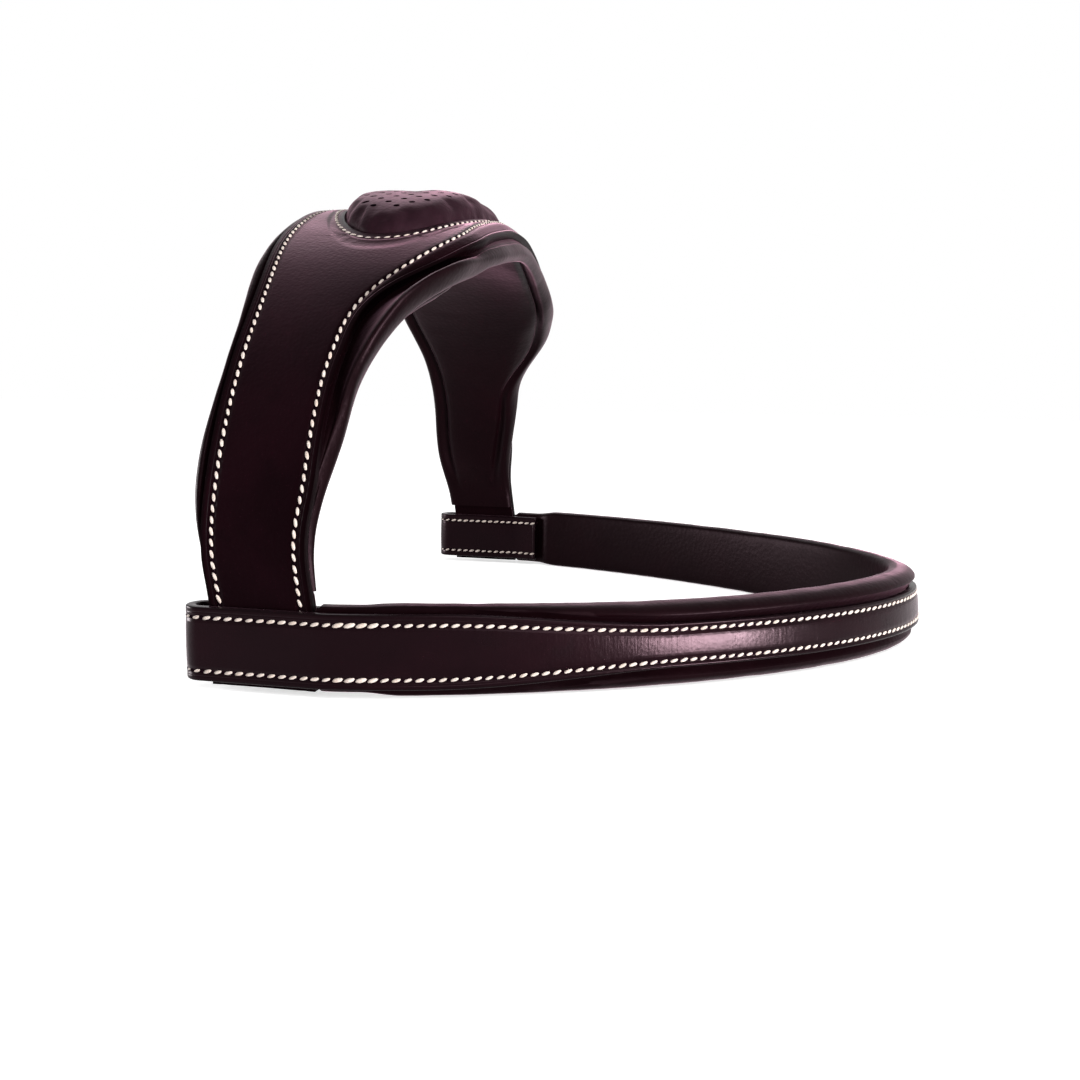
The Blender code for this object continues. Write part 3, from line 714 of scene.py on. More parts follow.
def thread_material(name, colour):
    """Waxed two-ply thread, its plies winding round each stitch, with painted shade in the grooves
    between the plies.
    """
    nodes, shader = new_material(name)
    local = nodes.attribute("ply", vector=True)
    parts = nodes.add("ShaderNodeSeparateXYZ", Vector=local)
    winding = nodes.math("MULTIPLY", parts.outputs["X"], 3.2)
    winding = nodes.math("MULTIPLY_ADD", parts.outputs["Y"], 2.2, winding)
    wave = nodes.math("SINE", nodes.math("MULTIPLY", winding, math.pi))
    wave = nodes.math("ABSOLUTE", wave)
    place = nodes.add("ShaderNodeTexCoord").outputs["Object"]
    soil = nodes.ramp(nodes.noise(place, 260.0, 3.0), 0.45, 0.75, 0.0, 0.5)
    soiled = colour4((colour[0], colour[1] * 0.86, colour[2] * 0.74), 0.72)
    colours = nodes.mix(soil, colour4(colour), soiled)
    # painted shade: the colour darkens in the grooves between the plies
    deep = nodes.ramp(wave, 0.0, 0.5, 0.55, 0.0)
    colours = nodes.mix(deep, colours, colour4(colour, 0.45))
    relief = nodes.add("ShaderNodeBump", Strength=0.8, Distance=0.00012, Height=wave)
    nodes.set(shader, Base_Color=colours, Normal=relief, Roughness=0.55, Sheen_Weight=0.15)


def suede_material(name, colour, nap=0.2):
    """The rough flesh side of leather and its cut edges; made near black, it is also the painted
    shade inside holes.
    """
    nodes, shader = new_material(name)
    place = nodes.add("ShaderNodeTexCoord").outputs["Object"]
    fibre = nodes.noise(place, 1500.0, 6.0, 0.7)
    patches = nodes.ramp(nodes.noise(place, 60.0, 3.0), 0.4, 0.7)
    colours = nodes.mix(patches, colour4(colour), colour4(colour, 1.6))
    relief = nodes.add("ShaderNodeBump", Strength=0.7, Distance=0.0002, Height=fibre)
    nodes.set(shader, Base_Color=colours, Normal=relief, Roughness=0.85,
              Specular_IOR_Level=nap * 0.5, Sheen_Weight=nap)


# Geometry Nodes
def new_tree(name, **inputs):
    """A modifier's tree that takes and gives geometry, and takes inputs of the kinds named."""
    tree = bpy.data.node_groups.new(name, "GeometryNodeTree")
    tree.is_modifier = True
    for title, kind in {"Geometry": "Geometry", **inputs}.items():
        tree.interface.new_socket(title, in_out="INPUT", socket_type="NodeSocket" + kind)
    tree.interface.new_socket("Geometry", in_out="OUTPUT", socket_type="NodeSocketGeometry")
    return tree


def stitch_tree():
    """Slanted stitches along a line, each facing the line's own outward direction, with a dark dent
    of painted shade for the needle hole between each two.
    """
    tree = new_tree("Stitch row", Pitch="Float", Length="Float", Width="Float", Slant="Float",
                    Seed="Int", Hole="Float", Thread="Material", Inside="Material")
    nodes = Nodes(tree)
    given = nodes.add("NodeGroupInput").outputs
    curve = nodes.add("GeometryNodeMeshToCurve", n0=given["Geometry"])
    row = nodes.add("GeometryNodeResampleCurve", {"mode": "LENGTH"}, Curve=curve,
                    Length=given["Pitch"])
    bead = nodes.add("GeometryNodeMeshUVSphere", Segments=10, Rings=7, Radius=1.0)
    ply = nodes.add("GeometryNodeStoreNamedAttribute", {"data_type": "FLOAT_VECTOR"},
                    Geometry=bead.outputs["Mesh"], Name="ply",
                    Value=nodes.add("GeometryNodeInputPosition"))
    half_length = nodes.math("MULTIPLY", given["Length"], 0.5)
    half_width = nodes.math("MULTIPLY", given["Width"], 0.5)
    half_height = nodes.math("MULTIPLY", given["Width"], 0.42)
    size = nodes.add("ShaderNodeCombineXYZ", X=half_length, Y=half_width, Z=half_height)
    stitch = nodes.add("GeometryNodeTransform", Geometry=ply, Scale=size)
    outward = nodes.add("GeometryNodeInputNamedAttribute", {"data_type": "FLOAT_VECTOR"},
                        Name="outward")
    along = nodes.add("FunctionNodeAlignRotationToVector", {"axis": "X"},
                      Vector=nodes.add("GeometryNodeInputTangent"))
    upright = nodes.add("FunctionNodeAlignRotationToVector", {"axis": "Z", "pivot_axis": "X"},
                        Rotation=along, Vector=outward)
    wobble = nodes.add("FunctionNodeRandomValue", {"data_type": "FLOAT"}, n2=-0.07, n3=0.07,
                       Seed=given["Seed"])
    turn = nodes.math("ADD", given["Slant"], wobble.outputs[1])
    lean = nodes.add("ShaderNodeCombineXYZ", X=0.0, Y=0.0, Z=turn)
    leaned = nodes.add("FunctionNodeRotateRotation", {"rotation_space": "LOCAL"},
                       Rotation=upright,
                       Rotate_By=nodes.add("FunctionNodeEulerToRotation", Euler=lean))
    vary = nodes.add("FunctionNodeRandomValue", {"data_type": "FLOAT"}, n2=0.92, n3=1.07,
                     Seed=nodes.math("ADD", given["Seed"], 7.0))
    thick = nodes.add("GeometryNodeInputNamedAttribute", {"data_type": "FLOAT"}, Name="thick")
    scale = nodes.math("MULTIPLY", vary.outputs[1], thick)
    placed = nodes.add("GeometryNodeInstanceOnPoints", Points=row,
                       Instance=stitch, Rotation=leaned, Scale=scale)
    whole = nodes.add("GeometryNodeRealizeInstances", Geometry=placed)
    sewn = nodes.add("GeometryNodeSetMaterial", Geometry=whole, Material=given["Thread"])
    # needle holes: flattened dark dents whose colour is painted shade
    dent = nodes.add("GeometryNodeMeshUVSphere", Segments=8, Rings=5, Radius=1.0)
    flat = nodes.add("ShaderNodeCombineXYZ", X=nodes.math("MULTIPLY", given["Hole"], 0.6),
                     Y=nodes.math("MULTIPLY", given["Hole"], 0.5),
                     Z=nodes.math("MULTIPLY", given["Hole"], 0.2))
    along_row = nodes.add("ShaderNodeVectorMath", {"operation": "SCALE"},
                          n0=nodes.add("GeometryNodeInputTangent"),
                          Scale=nodes.math("MULTIPLY", given["Pitch"], 0.5))
    between = nodes.add("GeometryNodeSetPosition", Geometry=row, Offset=along_row)
    mark = nodes.add("GeometryNodeTransform", Geometry=dent.outputs["Mesh"], Scale=flat)
    pricked = nodes.add("GeometryNodeInstanceOnPoints", Points=between, Instance=mark,
                        Rotation=upright)
    dents = nodes.add("GeometryNodeRealizeInstances", Geometry=pricked)
    dark = nodes.add("GeometryNodeSetMaterial", Geometry=dents, Material=given["Inside"])
    joined = nodes.add("GeometryNodeJoinGeometry")
    tree.links.new(sewn.outputs[0], joined.inputs[0])
    tree.links.new(dark.outputs[0], joined.inputs[0])
    smooth = nodes.add("GeometryNodeSetShadeSmooth", Geometry=joined)
    nodes.add("NodeGroupOutput", Geometry=smooth)


def perforation_tree():
    """Punch a round, blind hole into a cushion under each point of a lattice, its walls given a
    near-black painted shade.
    """
    tree = new_tree("Perforations", Lattice="Object", Hole="Float", Depth="Float",
                    Inside="Material")
    nodes = Nodes(tree)
    given = nodes.add("NodeGroupInput").outputs
    lattice = nodes.add("GeometryNodeObjectInfo", Object=given["Lattice"])
    outward = nodes.add("GeometryNodeInputNamedAttribute", {"data_type": "FLOAT_VECTOR"},
                        Name="outward")
    inward = nodes.add("ShaderNodeVectorMath", {"operation": "SCALE"}, n0=outward, Scale=-1.0)
    ray = nodes.add("GeometryNodeRaycast", Target_Geometry=given["Geometry"],
                    Ray_Direction=inward, Ray_Length=0.05)
    radius = nodes.math("MULTIPLY", given["Hole"], 0.5)
    length = nodes.math("MULTIPLY", given["Depth"], 2.0)
    punch = nodes.add("GeometryNodeMeshCylinder", Vertices=14, Radius=radius, Depth=length)
    # painted shade: the hole's walls take the near-black hole material
    dark = nodes.add("GeometryNodeSetMaterial", Geometry=punch.outputs["Mesh"],
                     Material=given["Inside"])
    facing = nodes.add("FunctionNodeAlignRotationToVector", {"axis": "Z"},
                       Vector=ray.outputs["Hit Normal"])
    moved = nodes.add("GeometryNodeSetPosition", Geometry=lattice.outputs["Geometry"],
                      Position=ray.outputs["Hit Position"])
    punches = nodes.add("GeometryNodeInstanceOnPoints", Points=moved,
                        Selection=ray.outputs["Is Hit"], Instance=dark, Rotation=facing)
    whole = nodes.add("GeometryNodeRealizeInstances", Geometry=punches)
    cut = nodes.add("GeometryNodeMeshBoolean", {"operation": "DIFFERENCE", "solver": "EXACT"},
                    n0=given["Geometry"], n1=whole)
    nodes.add("NodeGroupOutput", Geometry=cut.outputs["Mesh"])


def run_nodes(piece, tree, values):
    """Put a node tree on a piece, set its named inputs, and keep the result as plain mesh."""
    modifier = piece.modifiers.new(tree.name, "NODES")
    modifier.node_group = tree
    sockets = {item.name: item.identifier for item in tree.interface.items_tree
               if item.item_type == "SOCKET" and item.in_out == "INPUT"}
    for key, value in values.items():
        modifier[sockets[key]] = value
    piece.update_tag()
    bpy.context.view_layer.update()
    keep_result(piece)


def line_object(name, lines):
    """A mesh of open lines, each point with the direction that its stitches face and how
    thick they are."""
    points, edges, outward, thick = [], [], [], []
    for line, directions, thickness in lines:
        start = len(points)
        points += [tuple(point) for point in line]
        outward += [tuple(direction) for direction in directions]
        thick += list(np.broadcast_to(thickness, len(line)))
        edges += [(start + step, start + step + 1) for step in range(len(line) - 1)]
    mesh = bpy.data.meshes.new(name)
    mesh.from_pydata(points, edges, [])
    set_attribute(mesh, "outward", outward, "FLOAT_VECTOR")
    set_attribute(mesh, "thick", thick)
    return add_object(name, mesh)


def stitch_rows(name, lines, settings, body, seed):
    """Sew stitches along lines and let them ride on a body."""
    piece = line_object(name, lines)
    run_nodes(piece, bpy.data.node_groups["Stitch row"], {
        "Pitch": settings.pitch, "Length": settings.length,
        "Width": settings.width, "Slant": settings.slant, "Seed": seed,
        "Hole": settings.hole, "Thread": bpy.data.materials["cream_thread"],
        "Inside": bpy.data.materials["hole_inside"]})
    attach(piece, body)


# Settings that a user would change
class BridleLeather(bpy.types.PropertyGroup):
    """Colours and finish of the leather."""

    strap_colour: bpy.props.FloatVectorProperty(
        name="Strap leather", description="Dye of the firm outer leather", subtype="COLOR",
        size=3, min=0.0, max=1.0, default=(0.0022, 0.0004, 0.0008))
    lining_colour: bpy.props.FloatVectorProperty(
        name="Lining leather", description="Dye of the soft lining", subtype="COLOR",
        size=3, min=0.0, max=1.0, default=(0.0020, 0.0004, 0.0007))
    cushion_colour: bpy.props.FloatVectorProperty(
        name="Cushion leather", description="Dye of the perforated cushion", subtype="COLOR",
        size=3, min=0.0, max=1.0, default=(0.0075, 0.0030, 0.0045))
    roughness: bpy.props.FloatProperty(
        name="Roughness", description="How dull the outer leather is", subtype="FACTOR",
        min=0.05, max=1.0, default=0.40)
    edge_radius: bpy.props.FloatProperty(
        name="Edge radius", description="Rounding of the burnished edges", unit="LENGTH",
        min=0.0001, max=0.001, default=0.0008, precision=5)
    unevenness: bpy.props.FloatProperty(
        name="Unevenness", description="How far the soft lining rises and dips", unit="LENGTH",
        min=0.0, max=0.001, default=0.00028, precision=5)


class BridleThread(bpy.types.PropertyGroup):
    """Stitches."""

    colour: bpy.props.FloatVectorProperty(
        name="Thread", description="Colour of the thread", subtype="COLOR",
        size=3, min=0.0, max=1.0, default=(0.52, 0.435, 0.385))
    pitch: bpy.props.FloatProperty(
        name="Pitch", description="Distance from stitch to stitch", unit="LENGTH",
        min=0.001, max=0.01, default=0.0026, precision=5)
    length: bpy.props.FloatProperty(
        name="Length", description="Visible length of a stitch", unit="LENGTH",
        min=0.0005, max=0.008, default=0.0021, precision=5)
    width: bpy.props.FloatProperty(
        name="Width", description="Thickness of the thread", unit="LENGTH",
        min=0.0002, max=0.003, default=0.00081, precision=5)
    slant: bpy.props.FloatProperty(
        name="Slant", description="Turn of each stitch from its row", subtype="ANGLE",
        min=-1.0, max=1.0, default=0.26)
    # the needle hole's dark mark is painted shade
    hole: bpy.props.FloatProperty(
        name="Needle hole", description="Size of the dark mark between two stitches",
        unit="LENGTH", min=0.0002, max=0.002, default=0.00085, precision=5)
    inset: bpy.props.FloatProperty(
        name="Inset", description="From the leather's edge to the row", unit="LENGTH",
        min=0.001, max=0.006, default=0.0026, precision=5)


class BridleCushion(bpy.types.PropertyGroup):
    """Perforations and filling of the poll cushion."""

    pressure: bpy.props.FloatProperty(
        name="Filling", description="Pressure that swells the cushion under its cover",
        min=0.0, max=50.0, default=4.0)
    hole: bpy.props.FloatProperty(
        name="Hole", description="Diameter of a perforation", unit="LENGTH",
        min=0.0005, max=0.003, default=0.0018, precision=5)
    pitch: bpy.props.FloatProperty(
        name="Hole pitch", description="Distance between rows of perforations", unit="LENGTH",
        min=0.002, max=0.01, default=0.0033, precision=5)
    margin: bpy.props.FloatProperty(
        name="Margin", description="Plain part of the cushion, as a share of its half width",
        subtype="FACTOR", min=0.0, max=0.9, default=0.84)


class BridleStage(bpy.types.PropertyGroup):
    """Lamps and camera."""

    key_power: bpy.props.FloatProperty(
        name="Key lamp", description="Power of the large soft lamp in front", unit="POWER",
        min=0.0, max=100.0, default=12.0)
    side_power: bpy.props.FloatProperty(
        name="Side lamp", description="Power of the lamp that shines along the browband",
        unit="POWER", min=0.0, max=100.0, default=13.0)
    left_power: bpy.props.FloatProperty(
        name="Left lamp", description="Power of the lamp on the left", unit="POWER",
        min=0.0, max=100.0, default=12.0)
    top_power: bpy.props.FloatProperty(
        name="Top lamp", description="Power of the lamp above and behind", unit="POWER",
        min=0.0, max=100.0, default=3.1)
    lens: bpy.props.FloatProperty(
        name="Lens", description="Focal length of the camera in millimetres",
        min=10.0, max=200.0, default=35.27)


def leather_rows():
    """Places along the arch for the outer leather, closer where its window ends."""
    along = cushion_edge(np.linspace(math.pi / 2, 0.0, 65), WINDOW_PLAY)[0]
    end = CUSHION_LENGTH / 2 + WINDOW_PLAY
    along[-1] = end
    places = np.concatenate([along, np.linspace(end, ARCH.length, 140)[1:]])
    return np.concatenate([-places[:0:-1], places])


class BRIDLE_OT_materials(bpy.types.Operator):
    """Mix the leathers and the thread."""

    bl_idname = "bridle.materials"
    bl_label = "Materials"

    def execute(self, context):
        leather = context.scene.bridle_leather
        strap = tuple(leather.strap_colour)
        lining = tuple(leather.lining_colour)
        leather_material("crown_leather", strap, leather.roughness, crease=0.0013)
        leather_material("backing_leather", strap, leather.roughness)
        leather_material("band_leather", strap, leather.roughness - 0.15, grain=0.000016,
                         crease=0.0012, wrinkle=0.000008, sheen=0.3, gloss=0.075)
        leather_material("soft_lining", lining, leather.roughness - 0.02, pebble=800.0,
                         wear=1.6, sheen=0.24, gloss=0.035)
        leather_material("perforated_leather", tuple(leather.cushion_colour), 0.50,
                         grain=0.00006, pebble=900.0, sheen=0.25)
        suede_material("flesh_side", (0.020, 0.008, 0.010))
        # painted shade: a near-black material for the insides of the perforations and the
        # needle-hole marks
        suede_material("hole_inside", (0.003, 0.001, 0.002), nap=0.0)
        thread_material("cream_thread", tuple(context.scene.bridle_thread.colour))
        stitch_tree()
        perforation_tree()
        return {"FINISHED"}


class BRIDLE_OT_top_leather(bpy.types.Operator):
    """The outer leather of the headpiece with its window."""

    bl_idname = "bridle.top_leather"
    bl_label = "Top leather"

    def execute(self, context):
        inset = context.scene.bridle_thread.inset
        rim = np.array([0.0, 0.0010, 0.0015, 0.0020, 0.0026, 0.0032, 0.0039, 0.0048])
        inner = 7
        rows, edges, seams = [], [], []
        for distance in leather_rows():
            rear, front = float(leather_rear(distance)), float(leather_front(distance))
            away = float(ease(abs(distance), CUSHION_LENGTH / 2, CUSHION_LENGTH))
            middle = CUSHION_CENTRE + ((rear + front) / 2 - CUSHION_CENTRE) * away
            room_rear = middle - window_half(distance, CUSHION_ROUNDNESS) - rear
            room_front = front - middle - window_half(distance, CUSHION_SQUARENESS)
            margin = float(poll_margin(distance))
            offsets = rim * min(1.0, 0.8 * room_rear / rim[-1])
            rest = np.linspace(offsets[-1], room_rear, inner + 1)[1:]
            rear_part = np.concatenate([offsets, rest])
            offsets = rim * min(1.0 + margin / inset, 0.8 * room_front / rim[-1])
            rest = np.linspace(offsets[-1], room_front, inner + 1)[1:]
            front_part = np.concatenate([offsets, rest])
            forward = np.concatenate([rear + rear_part, (front - front_part)[::-1]])
            past = (cushion_share(distance, forward, WINDOW_PLAY) - 1) * CUSHION_WIDTH / 2
            edge = np.minimum(np.minimum(forward - rear, front - forward), np.maximum(past, 0.0))
            edge = np.minimum(edge, ARCH.length - abs(distance))
            row = np.minimum(np.abs(forward - rear - inset),
                             np.abs(front - margin - forward - inset))
            row = np.minimum(row, np.abs(past - CUSHION_SEAM))
            lift = droop(distance, forward) - ROW_DEPTH * bump(row, 0.0, 0.0007)
            rows.append(arch_place(distance, forward, lift))
            edges.append(edge)
            seams.append(row)
        points = np.array(rows)
        points[..., 2] += roughen(points, 42.0, 0.00022, 3.0)
        mesh = grid_mesh("top_leather", points, (0, 0, 1), {"edge": edges, "row": seams},
                         skip=(len(rim) + inner - 1,))
        weld(mesh, GAP / 100)
        piece = add_piece("top_leather", mesh, "crown_leather")
        thicken(piece, CROWN_LEATHER, context.scene.bridle_leather.edge_radius)
        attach(piece, "headpiece")
        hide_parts("crown_top_leather")
        return {"FINISHED"}


class BRIDLE_OT_backing(bpy.types.Operator):
    """The backing strap, which shows beside and below the headpiece's padding."""

    bl_idname = "bridle.backing"
    bl_label = "Backing"

    def execute(self, context):
        end = ARCH.length - 0.0012
        rows = []
        for distance in np.linspace(-end, end, 161):
            bare = float(ease(abs(distance), PAD_LENGTH - 0.0040, PAD_LENGTH - 0.0005))
            inset = 0.0026 - 0.00235 * bare
            forward = np.linspace(float(leather_rear(distance)) + inset,
                                  float(leather_front(distance)) - inset, 25)
            rows.append(arch_place(distance, forward, droop(distance, forward) - UNDER_LEATHER))
        mesh = grid_mesh("backing_strap", np.array(rows), (0, 0, 1))
        piece = add_piece("backing_strap", mesh, "backing_leather")
        thicken(piece, BACKING_THICKNESS, 0.0003, 2)
        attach(piece, "headpiece")
        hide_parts("crown_backing")
        return {"FINISHED"}


class BRIDLE_OT_headpiece_lining(bpy.types.Operator):
    """The padded lining of the headpiece with its rolled rims."""

    bl_idname = "bridle.headpiece_lining"
    bl_label = "Headpiece lining"

    def execute(self, context):
        uneven = context.scene.bridle_leather.unevenness
        rows = []
        distances = np.linspace(-PAD_LENGTH, PAD_LENGTH, 361)
        for distance in distances:
            outline = np.array(lining_outline(distance))
            line = smooth_line(outline, 5)
            lift = droop(distance, line[:, 0]) + flare(distance, line[:, 0])
            rows.append(np.stack([line[:, 0], line[:, 1] + lift], axis=-1))
        rows = ease_rows(np.array(rows), 6)
        points = arch_place(distances[:, None], rows[..., 0], rows[..., 1])
        puckers = roughen(points, 130.0, uneven * 0.5, 5.0) + roughen(points, 38.0, uneven, 9.0)
        shape = np.ones(points.shape[1])
        shape[:8] = np.linspace(0.0, 1.0, 8) ** 2
        shape[-12:] = np.linspace(1.0, 0.0, 12) ** 2
        middle = np.array([0.0, 0.0, 0.045])
        outward = points - middle
        outward[..., 0] = 0.0
        outward /= np.linalg.norm(outward, axis=-1)[..., None]
        points -= outward * (np.abs(puckers) * shape)[..., None]
        mesh = grid_mesh("headpiece_lining", points, (0, 0, -1))
        piece = add_piece("headpiece_lining", mesh, "soft_lining")
        thicken(piece, LINING_SKIN, even=False)
        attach(piece, "headpiece")
        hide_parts("crown_lining", "crown_foam")
        return {"FINISHED"}


class BRIDLE_OT_poll_cushion(bpy.types.Operator):
    """The perforated poll cushion."""

    bl_idname = "bridle.poll_cushion"
    bl_label = "Poll cushion"

    def execute(self, context):
        settings = context.scene.bridle_cushion
        foot = -CROWN_LEATHER + CUSHION_SKIN / 2
        angles = np.linspace(0.0, 2 * math.pi, 121)[:-1]
        rings = []
        for turn in np.linspace(0.0, 0.97, 26) * math.pi / 2:
            along, forward = cushion_edge(angles, 0.0)
            ahead = ease(forward, CUSHION_CENTRE, CUSHION_CENTRE + CUSHION_WIDTH / 2)
            reach = math.cos(turn) ** (0.46 - 0.04 * ahead)
            wider = 1 + 0.075 * math.sin(2 * turn) ** 2
            along = along * reach * (1 + 0.05 * math.sin(2 * turn) ** 2)
            forward = CUSHION_CENTRE + (forward - CUSHION_CENTRE) * reach * wider
            up = foot + (CUSHION_HEIGHT - 0.0012 + 0.0008 * ahead - foot) * math.sin(turn) ** 0.56
            rings.append(arch_place(along, forward, up + droop(along, forward)))
        points = np.array(rings)
        fade = np.linspace(0.0, 1.0, len(rings)) ** 0.3
        points[..., 2] += roughen(points, 60.0, 0.00035, 12.0) * fade[:, None]
        bm = bmesh.new()
        loops = [[bm.verts.new(point) for point in ring] for ring in points]
        for lower, upper in zip(loops, loops[1:]):
            for index in range(len(lower)):
                after = (index + 1) % len(lower)
                bm.faces.new((lower[index], lower[after], upper[after], upper[index]))
        crest = bm.verts.new(points[-1].mean(axis=0))
        for index in range(len(angles)):
            bm.faces.new((loops[-1][index], loops[-1][(index + 1) % len(angles)], crest))
        sunk = [bm.verts.new(point) for point in points[0] * (0.9, 0.9, 1.0) + (-0.006, 0, -0.0002)]
        for index in range(len(sunk)):
            after = (index + 1) % len(sunk)
            bm.faces.new((sunk[index], sunk[after], loops[0][after], loops[0][index]))
        bm.faces.new(list(reversed(sunk)))
        bmesh.ops.recalc_face_normals(bm, faces=bm.faces)
        mesh = bpy.data.meshes.new("poll_cushion")
        bm.to_mesh(mesh)
        bm.free()
        held = np.ones(len(mesh.vertices))
        held[2 * len(angles):len(rings) * len(angles) + 1] = 0.0
        swell(mesh, held, settings.pressure)
        mesh.shade_smooth()
        piece = add_piece("poll_cushion", mesh, "perforated_leather")
        finer = piece.modifiers.new("Finer", "SUBSURF")
        finer.levels = finer.render_levels = 1
        settle(piece)
        self.punch(piece, settings)
        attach(piece, "headpiece")
        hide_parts("poll_cushion_cover", "poll_cushion_core")
        return {"FINISHED"}

    def punch(self, piece, settings):
        """Lay the staggered lattice over the cushion and punch it."""
        reach = CUSHION_LENGTH / 2
        rows = int(reach / settings.pitch) + 1
        points, outward = [], []
        for row in range(-rows, rows + 1):
            for column in range(-6, 7):
                along = row * settings.pitch
                across = (column + 0.5 * (row % 2)) * settings.pitch * 2
                forward = CUSHION_CENTRE + across
                if cushion_share(along, forward) > settings.margin:
                    continue
                points.append(arch_place(along, forward, 0.02))
                outward.append(arch_normal(along))
        mesh = bpy.data.meshes.new("perforation_lattice")
        mesh.from_pydata([tuple(point) for point in points], [], [])
        set_attribute(mesh, "outward", outward, "FLOAT_VECTOR")
        lattice = add_object("perforation_lattice", mesh)
        run_nodes(piece, bpy.data.node_groups["Perforations"], {
            "Lattice": lattice, "Hole": settings.hole, "Depth": HOLE_DEPTH,
            "Inside": bpy.data.materials["hole_inside"]})
        bpy.data.objects.remove(lattice, do_unlink=True)
        shade(piece.data, 35.0)


def strap_line():
    """The browband strap's outer face in plan, and at each place its outward direction, its
    distance along the browband and its length along the strap."""
    bend = LOOP_THICKNESS / 2
    middle = BAND_HALF_WIDTH + BAND_OUTER - bend
    turned = np.linspace(LAP_END, BAND.length, 60)[:-1]
    inner = band_place(turned, BAND_OUTER - LOOP_THICKNESS, 0.0)
    inner_out = band_place(turned, BAND_OUTER - LOOP_THICKNESS - 0.001, 0.0) - inner
    turn = np.linspace(0.0, math.pi, 33)
    arc = np.stack([ORIGIN_X + bend - LOOP_REAR - bend * np.sin(turn),
                    middle - bend * np.cos(turn), 0 * turn], axis=-1)
    arc_out = np.stack([-np.sin(turn), -np.cos(turn), 0 * turn], axis=-1)
    straight = np.linspace(-(BAND.length - 0.0006), BAND.length - 0.0006, 841)
    outer = band_place(straight, BAND_OUTER + STRIP_RAISE * narrowing(straight), 0.0)
    outer_out = (band_place(straight, BAND_OUTER + 0.001, 0.0)
                 - band_place(straight, BAND_OUTER, 0.0))
    side = np.vstack([inner, arc])
    side_out = np.vstack([inner_out / np.linalg.norm(inner_out, axis=1)[:, None], arc_out])
    mirror = np.array([1.0, -1.0, 1.0])
    line = np.vstack([side * mirror, outer, side[::-1]])
    out = np.vstack([side_out * mirror, outer_out / np.linalg.norm(outer_out, axis=1)[:, None],
                     side_out[::-1]])
    loop = np.full(len(side), BAND.length)
    distance = np.concatenate([-loop, straight, loop])
    steps = np.linalg.norm(np.diff(line, axis=0), axis=1)
    length = np.concatenate([[0.0], np.cumsum(steps)])
    return line, out, distance, length - length[-1] / 2


class BRIDLE_OT_browband_strap(bpy.types.Operator):
    """The browband's strap with its two turned loops."""

    bl_idname = "bridle.browband_strap"
    bl_label = "Browband strap"

    def execute(self, context):
        line, out, distance, length = strap_line()
        half = strap_half_height(distance)
        gap = row_gap(distance)
        margins = np.array([0.0, 0.25, 0.5, 0.75])
        inner = np.linspace(-1.0, 1.0, 13)[1:-1]
        rows, edges, seams, flows = [], [], [], []
        end = np.minimum(length - length[0], length[-1] - length)
        domes = narrowing(distance)
        loose = 1 - 0.8 * ease(np.abs(distance), SEAM_AT - LOOP_CALM, SEAM_AT)
        for place, direction, h, g, dome, free, along, to_end in zip(
                line, out, half, gap, domes, loose, length, end):
            edge_part = h - (h - g + 0.0009) * margins
            ups = np.concatenate([-edge_part, inner * (g - 0.0011), edge_part[::-1]])
            row = np.abs(np.abs(ups) - g)
            crown = 0.00012 * (1 - (ups / g) ** 2).clip(0, 1)
            folds = noise.noise(Vector((along * 900.0, 0.0, 3.0)))
            folds += 0.6 * noise.noise(Vector((along * 420.0, 5.0, 0.0)))
            pull = 0.000022 * folds * (0.3 + 1.6 * bump(row, 0.0, 0.0016))
            pressed = BAND_ROW_DEPTH * bump(row, 0.0, 0.0006)
            lift = crown - BAND_TILT * dome * ups + free * (pull - pressed)
            height = np.array([0, 0, 1.0]) * (BAND_MIDDLE_Z + ups)[:, None]
            rows.append(place + direction * lift[:, None] + height)
            edges.append(np.minimum(h - np.abs(ups), to_end))
            seams.append(row)
            flow = [np.full_like(ups, along) * 1500.0, ups * 160.0, 0 * ups]
            flows.append(np.stack(flow, axis=-1))
        mesh = grid_mesh("browband_outer", np.array(rows), (1, 0, 0),
                         {"edge": edges, "row": seams})
        set_attribute(mesh, "flow", flows, "FLOAT_VECTOR")
        piece = add_piece("browband_outer", mesh, "band_leather")
        thicken(piece, BAND_STRAP_THICKNESS, context.scene.bridle_leather.edge_radius)
        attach(piece, "browband")
        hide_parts("browband_strap")
        return {"FINISHED"}


class BRIDLE_OT_browband_lining(bpy.types.Operator):
    """The browband's padded lining."""

    bl_idname = "bridle.browband_lining"
    bl_label = "Browband lining"

    def execute(self, context):
        uneven = context.scene.bridle_leather.unevenness
        end = SEAM_AT + PAD_TUCK
        rows = []
        for distance in np.linspace(-end, end, 321):
            outline = np.array(band_lining_outline(distance))
            line = even_line(smooth_line(outline, 6), PADDING_COLUMNS)
            clear = 1 - float(ease(abs(distance), SEAM_AT - 0.012, SEAM_AT - 0.002))
            above = (0.0004 + 0.0007 * float(ease(distance, -0.02, 0.05))
                     - 0.0009 * float(bump(distance, -0.095, 0.05)))
            up = line[:, 1]
            fuller = np.where(up > 0, above, 0.0008) * clear
            height = up + fuller * np.sign(up) * ease(np.abs(up), 0.004, 0.0095)
            rows.append(band_place(distance, line[:, 0], BAND_MIDDLE_Z + height))
        points = np.array(rows)
        puckers = roughen(points, 120.0, uneven * 0.7, 21.0)
        columns = np.arange(PADDING_COLUMNS)
        calm = np.clip(np.minimum(columns, columns[::-1]) / 14.0, 0, 1)
        side = np.sign(points[..., 2] - BAND_MIDDLE_Z)
        points[..., 2] -= side * np.abs(puckers) * calm
        mesh = grid_mesh("browband_padding", points, (-1, 0, 0))
        piece = add_piece("browband_padding", mesh, "soft_lining")
        thicken(piece, LINING_SKIN, even=False)
        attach(piece, "browband")
        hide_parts("browband_lining", "browband_foam")
        return {"FINISHED"}


